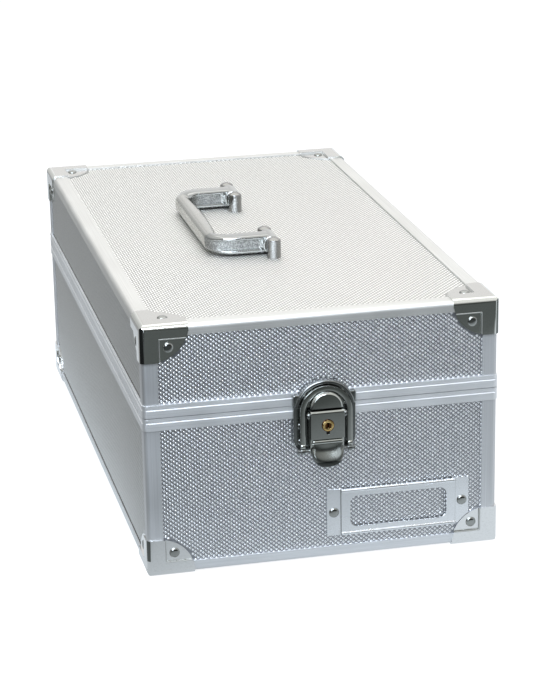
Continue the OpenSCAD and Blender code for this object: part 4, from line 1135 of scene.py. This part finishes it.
def tab_point(s, t):
    """A point of the tab: s runs across from -1 to 1 and t runs down from 0 to 1."""
    half = TAB_HALF - TAB_WAIST * math.sin(math.pi * min(1.0, t / WAIST_TO)) ** 2
    lowest = TAB_ROUND - (TAB_ROUND - TAB_LOW) * math.sqrt(max(0.0, 1 - abs(s) ** TAB_SQUARE))
    x, up = s * half, TAB_TOP + (lowest - TAB_TOP) * t
    flared = TAB_ROOT_OUT + (TAB_OUT - TAB_ROOT_OUT) * smooth((TAB_TOP - up) / (TAB_TOP - TAB_FLARED))
    dish = TAB_DISH * (1 - s * s) * smooth((TAB_TOP - up) / DISH_RUN)
    edge = rolled(half - abs(x), SIDE_EASE) + LIP_SHARE * rolled(up - lowest, LIP_EASE)
    return on_front(x, flared - dish - edge, up)


def dished_tab():
    """The tab as a grid, with more of its lines near its edges, then thickened."""
    sheet = bmesh.new()
    bmesh.ops.create_grid(sheet, x_segments=TAB_ACROSS, y_segments=TAB_DOWN, size=1.0)
    for corner in sheet.verts:
        s, t = corner.co.x, (1 - corner.co.y) / 2
        corner.co = tab_point(math.sin(s * math.pi / 2), 1 - (1 - t) ** LINES_TO_LIP)
    bmesh.ops.recalc_face_normals(sheet, faces=sheet.faces)
    if sum(face.normal.y for face in sheet.faces) > 0:
        bmesh.ops.reverse_faces(sheet, faces=sheet.faces)
    cut_level(sheet, on_front(0, 0, LIP_FROM).z)
    bmesh.ops.solidify(sheet, geom=sheet.faces[:], thickness=TAB_SHEET * MM)
    return sheet


# %% Lever
# The roll is the fold between the lever's face and its tab, and the cheeks are its two ears at the pivot.
LEVER_CUT, CHEEK_X, CHEEK_SHEET = -14.9, 6.9, 1.2
ROLL_UP, ROLL_OUT, ROLL_R, ROLL_WIDTH = -16.35, 7.75, 1.25, 14.6
KEYWAY_HALF, KEYWAY_UP, KEYWAY_OUT, TAB_CLEAR = 0.85, (-12.4, -10.8), (8.0, 8.98), 6.5
CHEEK = ((7.7, -14.5), (7.2, -19.0), *arc((5.1, PIVOT_UP), 1.9, 10, -190, 12), (3.4, -14.5))


def in_keyway(x, out, up):
    """The small dark slot in the lever's face below the key plug."""
    return abs(x) < KEYWAY_HALF and KEYWAY_UP[0] < up < KEYWAY_UP[1] and KEYWAY_OUT[0] < out < KEYWAY_OUT[1]


def on_tab(x, out, up):
    """The tab, but not the cheeks and the loop's eyes behind it."""
    return up < TAB_TOP and abs(x) < TAB_HALF and out > TAB_CLEAR


lever = merged_copy("latch_lever")
cut_level(lever, on_front(0, 0, LEVER_CUT).z, drop_below=True)
soften(lever, 0.3 * MM, segments=3)
# The keyway slot is painted black as the shade inside it.
paint_front(lever, 1, in_keyway)
add_mesh(lever, dished_tab())
cylinder(lever, on_front(0, ROLL_OUT, ROLL_UP), AXES[X], ROLL_R * MM, ROLL_WIDTH * MM, 28, 0.7 * MM)
for side in (-1, 1):
    cheek = [on_front(side * CHEEK_X, out, up) for out, up in CHEEK]
    plate(lever, cheek, (side * CHEEK_SHEET * MM, 0, 0), 0.25 * MM)
# The tab takes a darker copy of the chrome as painted shade.
paint_front(lever, 2, on_tab)
# The rolled lip is painted nearly black as shade.
paint_front(lever, 3, lambda x, out, up: up < LIP_FROM)
finished("latch_lever_folded", lever, "latch_lever",
         (LATCH_CHROME, KEYWAY_PAINTED_SHADE, TAB_PAINTED_SHADE, LIP_PAINTED_SHADE), crisp=35)

# %% Key plug
PLUG_UP = -8.0
COLLAR = ((1.5, 9.3), (1.5, 9.45), (1.75, 9.58), (2.2, 9.6), (2.55, 9.52), (2.82, 9.3), (2.88, 9.1))
plug = merged_copy("latch_key_plug")
soften(plug, 0.12 * MM)
# The plug inside its collar is painted dark brass as shade in its keyway and recess; only the collar is
# bright.
paint(plug, 1)
collar = bmesh.new()
spun(collar, [on_front(radius, out, PLUG_UP) for radius, out in COLLAR], on_front(0, 0, PLUG_UP), AXES[Y], 40)
if max(collar.faces, key=lambda f: -f.calc_center_median().y).normal.y > 0:
    bmesh.ops.reverse_faces(collar, faces=collar.faces)
add_mesh(plug, collar)
finished("latch_key_turned", plug, "latch_key_plug", (BRASS, PLUG_PAINTED_SHADE), crisp=35)

# %% [markdown]
# ## Finishes on the solids that stay
#
# The pins, the screws, the latch's own rivets and the linings have the right shape already. They keep their
# mesh and only get a finish.

# %% Plain finishes
for node, solid in NODES.items():
    if not solid.hide_render:
        # The latch's own pins and rivets take the chrome with painted shade.
        latch_or_rivet = LATCH_PAINTED_SHADE if node.startswith("latch") else RIVET_STEEL
        solid.data.materials.clear()
        solid.data.materials.append(FELT if node.endswith("lining") else latch_or_rivet)
        print(node, "keeps its mesh")
